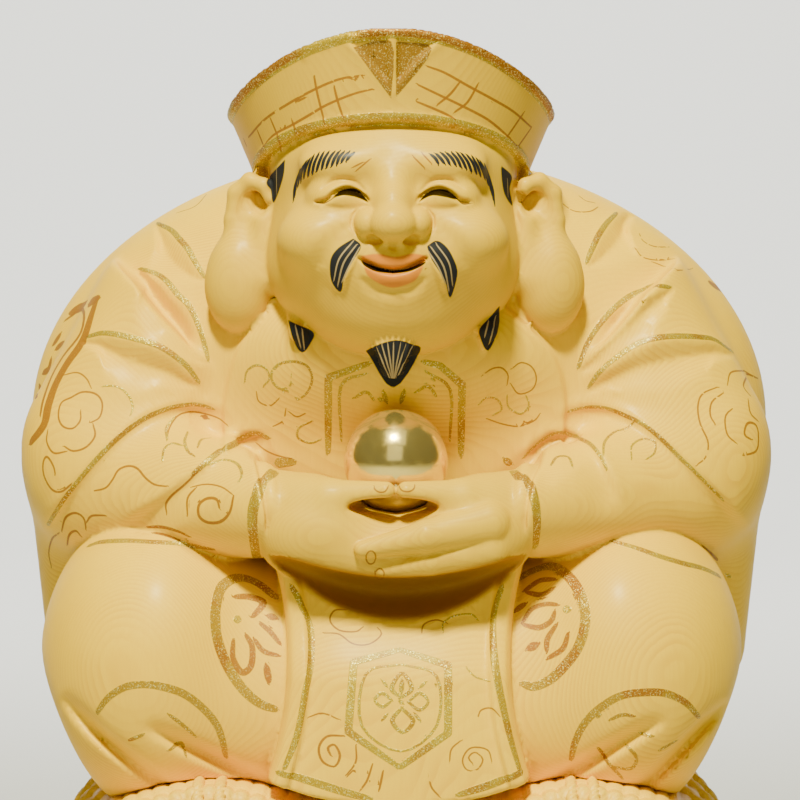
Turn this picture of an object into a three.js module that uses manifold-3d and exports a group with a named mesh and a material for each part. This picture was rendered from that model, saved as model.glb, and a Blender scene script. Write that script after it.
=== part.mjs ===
// A carved wooden figure of Daikoku, the god of luck, seated on two rice bales with a gold
// ball in his hands. Millimetres, +Z up, the figure looks along -Y, and the origin is at the
// centre of the footprint on the surface that the bales stand on.
import * as THREE from 'three';
import { mergeVertices } from 'three/addons/utils/BufferGeometryUtils.js';
import Module from 'manifold-3d';

// Driving dimensions
const FIGURE_HEIGHT = 186;      // from the top of the bales to the peak of the hat
const BALL_DIAMETER = 26;       // gold ball in the hands
const BALE_DIAMETER = 92;       // a bale without its ropes
const BALE_LENGTH = 132;        // between its two straw ends
const BALE_OVERLAP = 2.4;       // how far the two bales run into each other, carved as one
const BALE_BULGE = 2.6;         // how much thicker a bale is at its middle than at its rims
const BALE_FLAT = 2.4;          // depth of the flat underside of each bale
const END_DISH = 3.2;           // how far the straw end lies behind its rim
const RIM_WIDTH = 7;            // length of the straw rim, along the bale
const RIM_WAVE = 0.9;           // height of the scallops around the rim
const GIRTH_ROPE = 4.2;         // diameter of the ropes around a bale
const GIRTH_PITCH = 24;         // distance between neighbouring ropes
const LOOP_ROPE = 3.4;          // diameter of the double rope over a bale's front rim
const LOOP_GAP = 5.4;           // distance between the two strands of that rope
const CLEARANCE = 0.3;          // gap between pieces that touch

const SCALLOPS = 12;
const GIRTH_ROPES = 3;
const SEAT_HEIGHT = BALE_DIAMETER + BALE_BULGE - BALE_FLAT;
const BALE_SPACING = BALE_DIAMETER + BALE_BULGE - BALE_OVERLAP;

// The figure is measured in parts, hundredths of its height, from the middle of its seat.
const PART = FIGURE_HEIGHT / 100;
const toPart = (length) => length / PART;
const BALL_RADIUS = toPart(BALL_DIAMETER) / 2;
const PALM_LEVEL = 34.9;
const BELLY_FRONT = -19.6;
const BALL_CENTRE = [0, BELLY_FRONT - BALL_RADIUS, PALM_LEVEL + BALL_RADIUS];

const wasm = await Module();
wasm.setup();

// Free forms as fields, below zero inside the wood
const clamp = (value, low, high) => Math.min(high, Math.max(low, value));

function ellipsoid([x, y, z], [a, b, c], [u, v, w]) {
  const [i, j, k] = [(x - a) / u, (y - b) / v, (z - c) / w];
  const near = Math.hypot(i, j, k);
  const slope = Math.hypot(i / u, j / v, k / w);
  return slope > 0 ? near * (near - 1) / slope : -Math.min(u, v, w);
}

// A limb tapers from the radius at its start to the radius at its end.
function limb([x, y, z], [a, b, c], [d, e, f], startRadius, endRadius) {
  const [u, v, w] = [d - a, e - b, f - c];
  const dot = (x - a) * u + (y - b) * v + (z - c) * w;
  const t = clamp(dot / (u * u + v * v + w * w), 0, 1);
  const away = Math.hypot(x - a - t * u, y - b - t * v, z - c - t * w);
  return away - startRadius - t * (endRadius - startRadius);
}

// Two forms join over a soft hollow as wide as blend.
function join(a, b, blend) {
  const h = Math.max(blend - Math.abs(a - b), 0) / blend;
  return Math.min(a, b) - h * h * blend / 4;
}

// Robe over the round back and shoulders
function torso(p) {
  const back = ellipsoid(p, [0.4, 7, 44.5], [52.6, 26.6, 37.6]);
  return join(back, ellipsoid(p, [0, 7, 12], [46, 27, 24]), 7);
}

// Sleeve: shoulder to elbow, elbow to a straight cuff, and the cloth that hangs at the hip
const CUFF_PLACE = 17;

function sleeve(p) {
  let wood = limb(p, [29, -2, 58], [38.8, -5, 42.4], 14, 12.8);
  wood = join(wood, limb(p, [41.8, 0, 34], [41.4, 6, 13], 9.2, 8), 3);
  wood = join(wood, limb(p, [37.5, -10, 38.6], [15, -27.5, 35.6], 11.2, 6.2), 3);
  return Math.max(wood, CUFF_PLACE + 0.12 * (p[2] - 36) - p[0]);
}

// Leg: a round knee, the lap behind the hands and the shin that crosses before the belly
function leg(p) {
  const KNEE_HEIGHT = 13;
  const tall = p[2] > KNEE_HEIGHT ? 20.4 : 17.4;
  const knee = ellipsoid(p, [31.7, -12, KNEE_HEIGHT], [17.8, 22.5, tall]);
  const lap = limb(p, [28, -14, 15], [6, -16, 13], 16, 13);
  return join(join(knee, lap, 3), limb(p, [28, -19, 8], [8, -22, 8], 14.5, 13), 4);
}

// Head: skull, full cheeks and jaw, the brow and the round of the lips
function head(p) {
  const q = [Math.abs(p[0]), p[1], p[2]];
  let wood = ellipsoid(p, [0, -13, 75], [16.5, 19, 17]);
  wood = join(wood, ellipsoid(p, [0, -17, 68], [17.2, 16.4, 12.4]), 3);
  wood = join(wood, ellipsoid(p, [0, -23.5, 61.6], [9, 7.6, 5.2]), 4);
  wood = join(wood, ellipsoid(q, [9.4, -27.4, 71.4], [5.6, 5.6, 4.4]), 3);
  wood = join(wood, ellipsoid(q, [7.4, -27.8, 80.8], [6.4, 4, 2.6]), 3);
  return join(wood, ellipsoid(p, [0, -31.4, 68.6], [5, 2.8, 3.4]), 1.6);
}

// Ear: a narrow top and the long hanging lobe of good fortune
function ear(p) {
  const top = limb(p, [19.4, -12.5, 77.8], [20.8, -15, 68], 2.8, 3.4);
  return join(top, ellipsoid(p, [20.9, -15.6, 64.8], [4.9, 4.2, 6.5]), 2);
}

// Hands: two palms that cup the ball
function palms(p) {
  const q = [Math.abs(p[0]), p[1], p[2]];
  const side = ellipsoid(q, [9.6, -28.6, 32.6], [9.2, 7.4, 7]);
  const wrist = limb(q, [19, -25, 36], [12, -28, 35.4], 5, 4.6);
  return join(join(side, wrist, 2), ellipsoid(p, [0, -30, 30], [12, 6, 5.1]), 2);
}

// A round mesh is let out along its rays until it meets the field's surface. Its rows run
// level round the form, and its columns lie closer together at the front.
const FRONT_WEIGHT = 0.3;
const LEAST_STEP = 0.1;
const BISECTIONS = 16;

function carve(field, centre, around, rings) {
  const shape = new THREE.SphereGeometry(1, around, rings);
  const place = shape.attributes.position;
  for (let i = 0; i < place.count; i += 1) {
    const polar = Math.acos(clamp(place.getY(i), -1, 1));
    const turn = Math.atan2(place.getX(i), -place.getZ(i));
    const bent = turn - FRONT_WEIGHT * Math.sin(turn);
    const level = Math.sin(polar);
    const ray = [level * Math.sin(bent), -level * Math.cos(bent), Math.cos(polar)];
    const at = (t) => [centre[0] + t * ray[0], centre[1] + t * ray[1], centre[2] + t * ray[2]];
    let inner = 0;
    let outer = LEAST_STEP;
    for (let depth = field(at(outer)); depth < 0; depth = field(at(outer))) {
      inner = outer;
      outer += Math.max(LEAST_STEP, -0.7 * depth);
    }
    for (let k = 0; k < BISECTIONS; k += 1) {
      const middle = (inner + outer) / 2;
      if (field(at(middle)) > 0) outer = middle;
      else inner = middle;
    }
    place.setXYZ(i, ...at(inner));
  }
  return solid(shape);
}

// A closed geometry becomes a solid, turned the right way out.
function solid(shape) {
  const bare = shape.clone();
  bare.deleteAttribute('normal');
  bare.deleteAttribute('uv');
  const merged = mergeVertices(bare, 1e-4);
  const triVerts = Uint32Array.from(merged.index.array);
  const vertProperties = Float32Array.from(merged.attributes.position.array);
  const make = () => new wasm.Manifold(new wasm.Mesh({ numProp: 3, vertProperties, triVerts }));
  const first = make();
  if (first.volume() > 0) return first;
  for (let i = 0; i < triVerts.length; i += 3) {
    [triVerts[i], triVerts[i + 1]] = [triVerts[i + 1], triVerts[i]];
  }
  return make();
}

const bothSides = (shape) => shape.add(shape.mirror([1, 0, 0]));

// A rod with round ends along a smooth path, as thick at each step as its list of radii
// says. Its sides are counted from a level direction that the path never follows.
const END_ROWS = 2;
const ALONG_Y = new THREE.Vector3(0, 1, 0);
const ALONG_X = new THREE.Vector3(1, 0, 0);

function rod(points, radii, sides, steps, level = ALONG_Y) {
  const path = new THREE.CatmullRomCurve3(points.map((point) => new THREE.Vector3(...point)));
  const shape = new THREE.SphereGeometry(1, sides, steps);
  const place = shape.attributes.position;
  for (let i = 0; i < place.count; i += 1) {
    const polar = Math.acos(clamp(place.getY(i), -1, 1));
    const row = Math.round(polar / Math.PI * steps);
    const turn = Math.atan2(place.getZ(i), place.getX(i));
    const along = row / steps;
    const scaled = along * (radii.length - 1);
    const low = Math.min(Math.floor(scaled), radii.length - 2);
    const thick = radii[low] + (scaled - low) * (radii[low + 1] - radii[low]);
    const toEnd = Math.min(row, steps - row) / END_ROWS;
    const round = Math.sin(Math.PI / 2 * Math.min(1, toEnd));
    const centre = path.getPoint(along);
    const tangent = path.getTangent(along);
    const side = new THREE.Vector3().crossVectors(tangent, level).normalize();
    const up = new THREE.Vector3().crossVectors(side, tangent);
    side.multiplyScalar(Math.cos(turn) * thick * round);
    up.multiplyScalar(Math.sin(turn) * thick * round);
    centre.add(side).add(up);
    place.setXYZ(i, centre.x, centre.y, centre.z);
  }
  return solid(shape);
}

// Hat: a tilted band that flares and peaks over the brow, with a low crown inside its rim
const HAT_PROFILE = [[0, 0], [0.7, 0], [1, 0], [1, 0.5], [1, 1], [0.94, 1], [0.91, 0.9], [0.5, 0.94], [0, 0.96]];

const HAT_SHIFT = -0.7;

function hatPoint(radius, up, side, front) {
  const peak = Math.sign(front) * (1 - side * side + Math.abs(front)) / 2;
  const low = [18.4 * side, 18 * front, 78.8 + 8 * front * radius];
  const high = [22.2 * side, 20 * front, 87.8 + (front > 0 ? 11.8 : 6) * peak * radius];
  return [
    HAT_SHIFT + radius * (low[0] + up * (high[0] - low[0])),
    -11 + up - radius * (low[1] + up * (high[1] - low[1])),
    low[2] + up * (high[2] - low[2]),
  ];
}

function hat() {
  const points = HAT_PROFILE.map(([radius, up]) => new THREE.Vector2(radius, up));
  const shape = new THREE.LatheGeometry(points, 28);
  const place = shape.attributes.position;
  for (let i = 0; i < place.count; i += 1) {
    const radius = Math.hypot(place.getX(i), place.getZ(i));
    const side = radius > 0 ? place.getX(i) / radius : 0;
    const front = radius > 0 ? place.getZ(i) / radius : 0;
    place.setXYZ(i, ...hatPoint(radius, place.getY(i), side, front));
  }
  return solid(shape).subtract(bothSides(crestCut()));
}

// One half of the sunk triangle on the hat's brow, left of the bar that parts it
const CREST_DEPTH = 0.45;

function crestCut() {
  const outline = new THREE.Shape([[0.6, 0.36], [5, 0.86], [0.6, 0.86]].map(([x, up]) => new THREE.Vector2(x, up)));
  const shape = new THREE.ExtrudeGeometry(outline, { depth: 1, bevelEnabled: false });
  const place = shape.attributes.position;
  for (let i = 0; i < place.count; i += 1) {
    const [x, up, out] = [place.getX(i), place.getY(i), place.getZ(i)];
    const side = x / (18.4 + 3.8 * up);
    const [, y, z] = hatPoint(1, up, side, Math.sqrt(1 - side * side));
    place.setXYZ(i, x, out > 0.5 ? y - 5 : y + CREST_DEPTH, z);
  }
  return solid(shape);
}

// Front panel of the robe, hanging over the crossed shins to its hem
const PANEL_TOP = 28;
const PANEL_BACK = -18;

function frontPanel() {
  const shape = new THREE.BoxGeometry(2, 1, 1, 6, 1, 4);
  const place = shape.attributes.position;
  for (let i = 0; i < place.count; i += 1) {
    const across = place.getX(i);
    const half = 12.4 + 2.6 * Math.pow(Math.abs(across) * (place.getZ(i) - 0.1) * 2, 2);
    const x = across * half;
    const hem = -3 + 3.2 * across * across;
    const z = hem + (place.getZ(i) + 0.5) * (PANEL_TOP - hem);
    const swell = 1 - 0.24 * Math.pow(across, 4);
    const front = PANEL_BACK - (14 + 0.21 * (PANEL_TOP - z) + 0.5 * Math.sin(z / 5)) * swell;
    place.setXYZ(i, x, place.getY(i) < 0 ? front : PANEL_BACK, z);
  }
  return solid(shape);
}

// The folds of the left sleeve and shin are cut along points across and up its front.
const FOLDS = [
  [[33.4, 74], [29.4, 71.6], [27.2, 68.6], [25.6, 65.6]],
  [[37.4, 66.2], [33, 63.6], [29, 59], [25.4, 54.4]],
  [[44.4, 56], [39.4, 56.8], [33.4, 55.6], [27, 51.6]],
  [[46, 9.6], [42, 7], [38, 4.4], [34.4, 2]],
  [[34, 9], [29.5, 5.8], [24.5, 3], [19.4, 0.2]],
];
const FOLD_WIDTHS = [0.3, 1.5, 1.6, 0.4];
const OUTSIDE = -60;

const robe = (p) => Math.min(torso(p), sleeve(p), leg(p));

function onFront(field, points) {
  return points.map(([x, z]) => {
    let y = OUTSIDE;
    while (field([x, y, z]) > 0 && y < 0) y += LEAST_STEP;
    return [x, y, z];
  });
}

const fold = (points) => rod(onFront(robe, points), FOLD_WIDTHS, 4, 5);

// Fingers of the left hand, laid over the right one, from knuckle to tip
const FINGERS = [
  [[10, -33.4, 35], [3, -35.7, 33.4], [-4.2, -36, 31.1]],
  [[10, -33, 32], [4, -35, 30.2], [-2, -35.2, 28.5]],
  [[9, -32, 29.2], [4, -33.8, 27.6], [0.2, -33.8, 26.3]],
];
const FINGER_WIDTHS = [2.1, 2, 1.8, 1.3];
const THUMB = [[15, -28, 37.2], [8.8, -32.4, 38], [0.9, -34.6, 39.1]];
const THUMB_WIDTHS = [2.6, 2.4, 2, 1.3];

// Smiling eyes and mouth are cut as thin curves; the nose, its wings and the beard stand out.
const EYE = [[3.2, 76.8], [6.2, 78.1], [10.4, 76.7]];
const MOUTH = [[-4.4, 69.2], [0, 67.7], [4.4, 69.2]];
const CUT_WIDTHS = [0.3, 0.6, 0.3];
const NOSE = [[0, -30.6, 79.4], [0, -33, 76.6], [0, -34.6, 73.6], [0, -33.4, 72]];
const NOSE_WIDTHS = [1, 1.7, 2.8, 2.2];
const NOSE_WING = [[1.8, -33.8, 73.2], [3.4, -33.2, 73], [4.4, -31.2, 73.2]];
const BEARD = [[0, -29, 60.6], [0, -30.4, 57], [0, -29.4, 51.2]];
const BEARD_WIDTHS = [2.4, 3.8, 2.4, 1, 0.3];

function face() {
  let wood = carve(head, [0, -16, 71], 24, 19).add(rod(NOSE, NOSE_WIDTHS, 8, 6));
  wood = wood.add(bothSides(rod(NOSE_WING, [1.6, 1.8, 1.4], 6, 5)));
  wood = wood.subtract(bothSides(rod(onFront(head, EYE), CUT_WIDTHS, 5, 5)));
  wood = wood.subtract(rod(onFront(head, MOUTH), CUT_WIDTHS, 5, 5));
  return wood.add(rod(BEARD, BEARD_WIDTHS, 8, 6));
}

const LEG_SHIFT = -0.6;

function figure() {
  let wood = carve(torso, [0, 7, 36], 26, 14);
  const legs = bothSides(carve(leg, [28, -15, 12], 20, 13)).translate([LEG_SHIFT, 0, 0]);
  wood = wood.add(bothSides(carve(sleeve, [38.5, -4, 39], 20, 14))).add(legs).add(frontPanel());
  wood = wood.subtract(bothSides(FOLDS.map(fold).reduce((all, cut) => all.add(cut))));
  wood = wood.add(face()).add(bothSides(carve(ear, [20.6, -14.6, 69], 9, 8)));
  wood = wood.add(carve(palms, [0, -28, 31.2], 18, 10)).add(bothSides(rod(THUMB, THUMB_WIDTHS, 6, 5)));
  wood = FINGERS.reduce((all, finger) => all.add(rod(finger, FINGER_WIDTHS, 6, 5)), wood);
  return wood.add(hat());
}

// One rice bale along Y: a straw rim with scallops, dished ends, and ropes around the girth
function bale(grow) {
  const half = BALE_LENGTH / 2;
  const radius = BALE_DIAMETER / 2;
  const rope = GIRTH_ROPE / 2;
  const profile = [[0, -half + END_DISH], [radius - 3 * END_DISH, -half + END_DISH], [radius - END_DISH, -half]];
  profile.push([radius, -half + END_DISH / 2]);
  profile.push([radius, -half + RIM_WIDTH]);
  for (let i = 0; i < GIRTH_ROPES; i += 1) {
    const place = (i - (GIRTH_ROPES - 1) / 2) * GIRTH_PITCH;
    const bulge = radius + BALE_BULGE * Math.cos(Math.PI * place / BALE_LENGTH) / 2;
    profile.push([bulge, place - rope * 1.2]);
    profile.push([bulge + rope * 0.7, place]);
    profile.push([bulge, place + rope * 1.2]);
  }
  profile.push([radius, half - RIM_WIDTH]);
  profile.push([radius, half - END_DISH / 2]);
  profile.push([radius - END_DISH, half], [radius - 3 * END_DISH, half - END_DISH], [0, half - END_DISH]);
  const points = profile.map(([r, y]) => new THREE.Vector2(r, y));
  const shape = new THREE.LatheGeometry(points, 2 * SCALLOPS);
  const place = shape.attributes.position;
  for (let i = 0; i < place.count; i += 1) {
    const [x, y, z] = [place.getX(i), place.getY(i), place.getZ(i)];
    const away = Math.hypot(x, z);
    const nearEnd = Math.abs(y) > half - RIM_WIDTH - END_DISH / 2;
    const onRim = nearEnd && away > radius - 2 * END_DISH;
    const wave = onRim ? RIM_WAVE / 2 * Math.cos(SCALLOPS * Math.atan2(z, x)) : 0;
    const factor = away > 0 ? (away + wave + grow) / away : 0;
    place.setXYZ(i, x * factor, nearEnd ? y + Math.sign(y) * grow : y, z * factor);
  }
  return solid(shape);
}

// The double rope that runs along the top of a bale, over its front rim to the end's middle
function rimRopes(grow) {
  const radius = BALE_DIAMETER / 2;
  const front = -BALE_LENGTH / 2;
  const deep = front + END_DISH;
  const strand = (x) => rod([
    [x, front + 3 * RIM_WIDTH, radius],
    [x, front + RIM_WIDTH / 2, radius],
    [x, front - LOOP_ROPE / 4, radius - END_DISH],
    [x, deep, radius - 3 * END_DISH],
    [x, deep, 0],
  ], [LOOP_ROPE / 2 + grow, LOOP_ROPE / 2 + grow], 5, 8, ALONG_X);
  return strand(-LOOP_GAP / 2).add(strand(LOOP_GAP / 2));
}

function balePair(grow) {
  const single = bale(grow).add(rimRopes(grow));
  const height = SEAT_HEIGHT - (BALE_DIAMETER + BALE_BULGE) / 2;
  const left = single.translate([-BALE_SPACING / 2, 0, height]);
  const right = single.translate([BALE_SPACING / 2, 0, height]);
  const floor = new THREE.BoxGeometry(6 * BALE_DIAMETER, 2 * BALE_LENGTH, BALE_DIAMETER);
  floor.translate(0, 0, -BALE_DIAMETER / 2);
  return left.add(right).subtract(solid(floor));
}

function toMesh(name, shape, material) {
  const mesh = shape.getMesh();
  const geometry = new THREE.BufferGeometry();
  geometry.setAttribute('position', new THREE.BufferAttribute(mesh.vertProperties, 3));
  geometry.setIndex(new THREE.BufferAttribute(mesh.triVerts, 1));
  geometry.computeVertexNormals();
  const piece = new THREE.Mesh(geometry, material);
  piece.name = name;
  return piece;
}

const daikoku = new THREE.Group();
const paleWood = new THREE.MeshStandardMaterial({ color: 0xe6c684, roughness: 0.42, metalness: 0 });
const strawWood = new THREE.MeshStandardMaterial({ color: 0xdcb877, roughness: 0.55, metalness: 0 });
const gold = new THREE.MeshStandardMaterial({ color: 0xd9ab3a, roughness: 0.12, metalness: 1 });

const hold = new THREE.SphereGeometry(BALL_RADIUS + toPart(CLEARANCE), 18, 11);
hold.translate(...BALL_CENTRE);
const seated = figure().subtract(solid(hold)).scale(PART).translate([0, 0, SEAT_HEIGHT]);
const bales = balePair(0);
const carved = seated.subtract(balePair(CLEARANCE));

// The origin lies under the middle of the whole.
const lows = carved.boundingBox().min;
const highs = carved.boundingBox().max;
const straws = bales.boundingBox();
const middle = (Math.min(lows[1], straws.min[1]) + Math.max(highs[1], straws.max[1])) / 2;
const sphere = new THREE.SphereGeometry(BALL_DIAMETER / 2, 18, 11);

daikoku.add(toMesh('figure', carved.translate([0, -middle, 0]), paleWood));
daikoku.add(toMesh('rice_bales', bales.translate([0, -middle, 0]), strawWood));
const ball = new THREE.Mesh(sphere, gold);
ball.name = 'gold_ball';
ball.position.set(0, BALL_CENTRE[1] * PART - middle, BALL_CENTRE[2] * PART + SEAT_HEIGHT);
daikoku.add(ball);

export default daikoku;
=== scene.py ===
import math

import bpy
import numpy as np
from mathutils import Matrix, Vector


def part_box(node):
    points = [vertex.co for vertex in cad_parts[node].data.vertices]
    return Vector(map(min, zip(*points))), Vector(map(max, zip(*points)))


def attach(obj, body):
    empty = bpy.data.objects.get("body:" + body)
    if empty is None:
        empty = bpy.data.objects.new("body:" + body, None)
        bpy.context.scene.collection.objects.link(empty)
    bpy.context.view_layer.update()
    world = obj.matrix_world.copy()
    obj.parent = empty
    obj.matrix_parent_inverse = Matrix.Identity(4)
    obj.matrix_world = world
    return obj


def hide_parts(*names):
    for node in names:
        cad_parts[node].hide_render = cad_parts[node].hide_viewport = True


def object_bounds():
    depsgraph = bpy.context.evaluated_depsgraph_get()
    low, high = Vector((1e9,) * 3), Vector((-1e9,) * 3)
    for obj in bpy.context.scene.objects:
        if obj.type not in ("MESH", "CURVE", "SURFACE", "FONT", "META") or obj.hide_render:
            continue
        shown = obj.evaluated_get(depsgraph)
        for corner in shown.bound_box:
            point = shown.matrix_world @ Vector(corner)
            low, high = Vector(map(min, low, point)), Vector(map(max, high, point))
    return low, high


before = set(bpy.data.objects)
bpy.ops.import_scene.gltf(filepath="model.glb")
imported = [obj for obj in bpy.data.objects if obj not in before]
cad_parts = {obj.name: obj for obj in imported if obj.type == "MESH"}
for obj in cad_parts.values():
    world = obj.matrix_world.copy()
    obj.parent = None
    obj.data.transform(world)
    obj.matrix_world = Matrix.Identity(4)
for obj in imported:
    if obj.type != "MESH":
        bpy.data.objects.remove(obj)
cad_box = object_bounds()

# Stage: a pale matt sheet that lies under the figure and rises behind it in one curve.
# It is only a backdrop.
FLOOR_COLOUR = (0.5, 0.505, 0.49, 1)
FLOOR_HALF_WIDTH = 4.0
FLOOR_FRONT = -3.0
FLOOR_END = 1.2  # where it starts to rise
FLOOR_CURVE = 0.8  # radius of the rise
WALL_TOP = 3.5


def add_mesh(name, points, faces):
    """A mesh object from whole arrays of points and faces."""
    mesh = bpy.data.meshes.new(name)
    mesh.from_pydata(np.asarray(points).tolist(), [], np.asarray(faces).tolist())
    mesh.polygons.foreach_set("use_smooth", [True] * len(mesh.polygons))
    mesh.update()
    piece = bpy.data.objects.new(name, mesh)
    bpy.context.scene.collection.objects.link(piece)
    return piece


def sheet_faces(rows, columns, closed=False):
    """Quads of a grid of points, joined round its columns where it is closed."""
    i, j = np.meshgrid(np.arange(rows - 1), np.arange(columns if closed else columns - 1), indexing="ij")
    i, j = i.ravel(), j.ravel()
    k = (j + 1) % columns
    return np.stack([i * columns + j, i * columns + k, (i + 1) * columns + k, (i + 1) * columns + j], 1)


# the sweep in profile: flat floor, a quarter turn, then a wall
turn = np.linspace(0, np.pi / 2, 16)
profile_y = np.concatenate([[FLOOR_FRONT, FLOOR_END], FLOOR_END + FLOOR_CURVE * np.sin(turn),
                            [FLOOR_END + FLOOR_CURVE]])
profile_z = np.concatenate([[0.0, 0.0], FLOOR_CURVE - FLOOR_CURVE * np.cos(turn), [WALL_TOP]])
across = np.array([-FLOOR_HALF_WIDTH, FLOOR_HALF_WIDTH])
sweep = np.stack([np.tile(across, len(profile_y)), np.repeat(profile_y, 2), np.repeat(profile_z, 2)], 1)
floor = add_mesh("floor", sweep, sheet_faces(len(profile_y), 2))
floor_paint = bpy.data.materials.new("floor")
floor_paint.use_nodes = True
floor_shader = floor_paint.node_tree.nodes["Principled BSDF"]
floor_shader.inputs["Base Color"].default_value = FLOOR_COLOUR
floor_shader.inputs["Roughness"].default_value = 0.9
floor.data.materials.append(floor_paint)

# Camera: five degrees down at the chest, from 1.1 m, with a long lens. Light: a small warm key
# from high in front, as the sun, a sky panel and a card that fill the shade, and a lamp of its
# own for the backdrop.
CAMERA_TARGET = Vector((0.0010, -0.0400, 0.1848))
CAMERA_DISTANCE = 1.1
CAMERA_TILT = math.radians(5)
LENS = 198  # millimetres, and the sensor's width too
SENSOR = 36
SUN_COLOUR = (1, 0.945, 0.62)
FILL_COLOUR = (1, 0.96, 0.8)
WORLD_COLOUR = (1, 0.96, 0.86, 1)
WORLD_STRENGTH = 0.06
lens = bpy.data.cameras.new("camera")
lens.sensor_width = SENSOR
lens.lens = LENS
camera = bpy.data.objects.new("camera", lens)
bpy.context.scene.collection.objects.link(camera)
toward = Vector((0, math.cos(CAMERA_TILT), -math.sin(CAMERA_TILT)))
camera.location = CAMERA_TARGET - CAMERA_DISTANCE * toward
camera.rotation_mode = "QUATERNION"
camera.rotation_quaternion = toward.to_track_quat("-Z", "Y")
bpy.context.scene.camera = camera


def add_lamp(name, place, target, size, power, colour=(1, 1, 1)):
    """A square area light at a place, turned to a target; its power is in watts."""
    lamp = bpy.data.lights.new(name, "AREA")
    lamp.size = size
    lamp.energy = power
    lamp.color = colour
    holder = bpy.data.objects.new(name, lamp)
    holder.location = place
    holder.rotation_mode = "QUATERNION"
    holder.rotation_quaternion = (Vector(target) - Vector(place)).to_track_quat("-Z", "Y")
    bpy.context.scene.collection.objects.link(holder)


add_lamp("key", (-0.14, -0.88, 1.65), (0, 0, 0.16), 0.18, 74, SUN_COLOUR)
add_lamp("sky", (0.0, -1.1, 2.15), (0, 0, 0.1), 1.6, 6, FILL_COLOUR)
add_lamp("card", (-0.1, -1.9, 1.0), (0, 0, 0.17), 1.2, 4, FILL_COLOUR)
add_lamp("backdrop", (0, 0.9, 1.2), (0, 1.75, 0.67), 1.4, 66)
world = bpy.data.worlds.new("world")
world.use_nodes = True
world.node_tree.nodes["Background"].inputs["Color"].default_value = WORLD_COLOUR
world.node_tree.nodes["Background"].inputs["Strength"].default_value = WORLD_STRENGTH
bpy.context.scene.world = world


# The figure: one carved piece of pale, fine-ringed wood, with painted patterns, hair and lips.
# Its form is a field, below zero inside the wood, built from soft joins of round forms. Places
# are in hundredths of its height: across to its left, back, and up from the seat.
PART = 0.00186  # metres in a hundredth of the figure's height
SEAT = 0.0922  # height of the seat, the tops of the bales
MIDDLE = -0.4  # the face's middle, across
MIDDLE_Y = 0.00255  # metres that the figure's own middle lies behind the origin
BALL_METRES = 0.013  # the gold ball's radius
BALL_RADIUS = BALL_METRES / PART
BALL_CENTRE = np.array([0, -26.589, 41.889])
ROOM = 0.17  # between the figure and the ball or the bales
BALE_RADIUS = 0.046  # metres, as all sizes of the bales
BALE_HALF = 0.066
BALE_X = 0.0461
BALE_Z = 0.0449
BALE_SWELL = 0.0013  # the girth's rise from the ends to the middle
ROPE_PLACES = (-0.024, 0.0, 0.024)
ROPE_RISE = 0.00145
ROPE_HALF = 0.0025  # half its width on the bale


def ellipsoid(p, centre, radii):
    """Nearly the distance to an ellipsoid: n(n-1)/|(p-c)/r^2| where n = |(p-c)/r|."""
    q = (p - centre) / radii
    near = np.linalg.norm(q, axis=1)
    slope = np.linalg.norm(q / radii, axis=1)
    return near * (near - 1) / np.maximum(slope, 1e-6)


def limb(p, start, end, start_radius, end_radius):
    """Distance to a tapering limb: |p - s - t(e-s)| - r(t), t = clamp((p-s).(e-s)/|e-s|^2)."""
    way = np.subtract(end, start)
    t = np.clip((p - start) @ way / (way @ way), 0, 1)
    away = np.linalg.norm(p - start - t[:, None] * way, axis=1)
    return away - start_radius - t * (end_radius - start_radius)


def chain(p, points, radii, blend=0.6):
    """Limbs joined end to end."""
    field = limb(p, points[0], points[1], radii[0], radii[1])
    for i in range(1, len(points) - 1):
        field = join(field, limb(p, points[i], points[i + 1], radii[i], radii[i + 1]), blend)
    return field


def join(a, b, blend):
    """Soft union: min(a, b) - h^2 k/4 with h = max(k - |a - b|, 0)/k."""
    h = np.maximum(blend - np.abs(a - b), 0) / blend
    return np.minimum(a, b) - h * h * blend / 4


def both(a, b, blend):
    """Soft intersection, so both(a, -b) is the wood a without b."""
    return -join(-a, -b, blend)


def ramp(x, low, high):
    """Smooth step from 0 at low to 1 at high: t^2 (3 - 2t)."""
    t = np.clip((x - low) / (high - low), 0, 1)
    return t * t * (3 - 2 * t)


def fold_over(p, middle=0.0):
    """The points with both halves laid on the figure's left half."""
    q = p.copy()
    q[:, 0] = np.abs(q[:, 0] - middle)
    return q


def smooth_path(points, steps=6):
    """Catmull-Rom curve through the points, steps per span:
    q(t) = p1 + t(p2-p0)/2 + t^2(p0-5p1/2+2p2-p3/2) + t^3(3(p1-p2)+p3-p0)/2."""
    p = np.asarray(points, float)
    ends = np.vstack([2 * p[0] - p[1], p, 2 * p[-1] - p[-2]])
    t = np.linspace(0, 1, steps, endpoint=False)[:, None]
    out = []
    for a, b, c, d in zip(ends[:-3], ends[1:-2], ends[2:-1], ends[3:]):
        curve = b + t * (c - a) / 2 + t**2 * (a - 2.5 * b + 2 * c - d / 2)
        out.append(curve + t**3 * (3 * (b - c) + d - a) / 2)
    return np.vstack(out + [p[-1:]])


def to_path(p, path):
    """For points across and up: signed distance to the path (positive on its right as it runs),
    share of its length, and plain distance."""
    q = p[:, [0, 2]]
    best = np.full(len(q), 1e9)
    side = np.zeros(len(q))
    share = np.zeros(len(q))
    steps = np.linalg.norm(np.diff(path, axis=0), axis=1)
    run = np.concatenate([[0], np.cumsum(steps)])
    for i, step in enumerate(steps):
        way = (path[i + 1] - path[i]) / step
        off = q - path[i]
        t = np.clip(off @ way, 0, step)
        gap = off - t[:, None] * way
        away = np.hypot(gap[:, 0], gap[:, 1])
        nearer = away < best
        best[nearer] = away[nearer]
        across = off[:, 0] * way[1] - off[:, 1] * way[0]
        side[nearer] = np.where(across > 0, away, -away)[nearer]
        share[nearer] = ((run[i] + t) / run[-1])[nearer]
    return side, share, best


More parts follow.
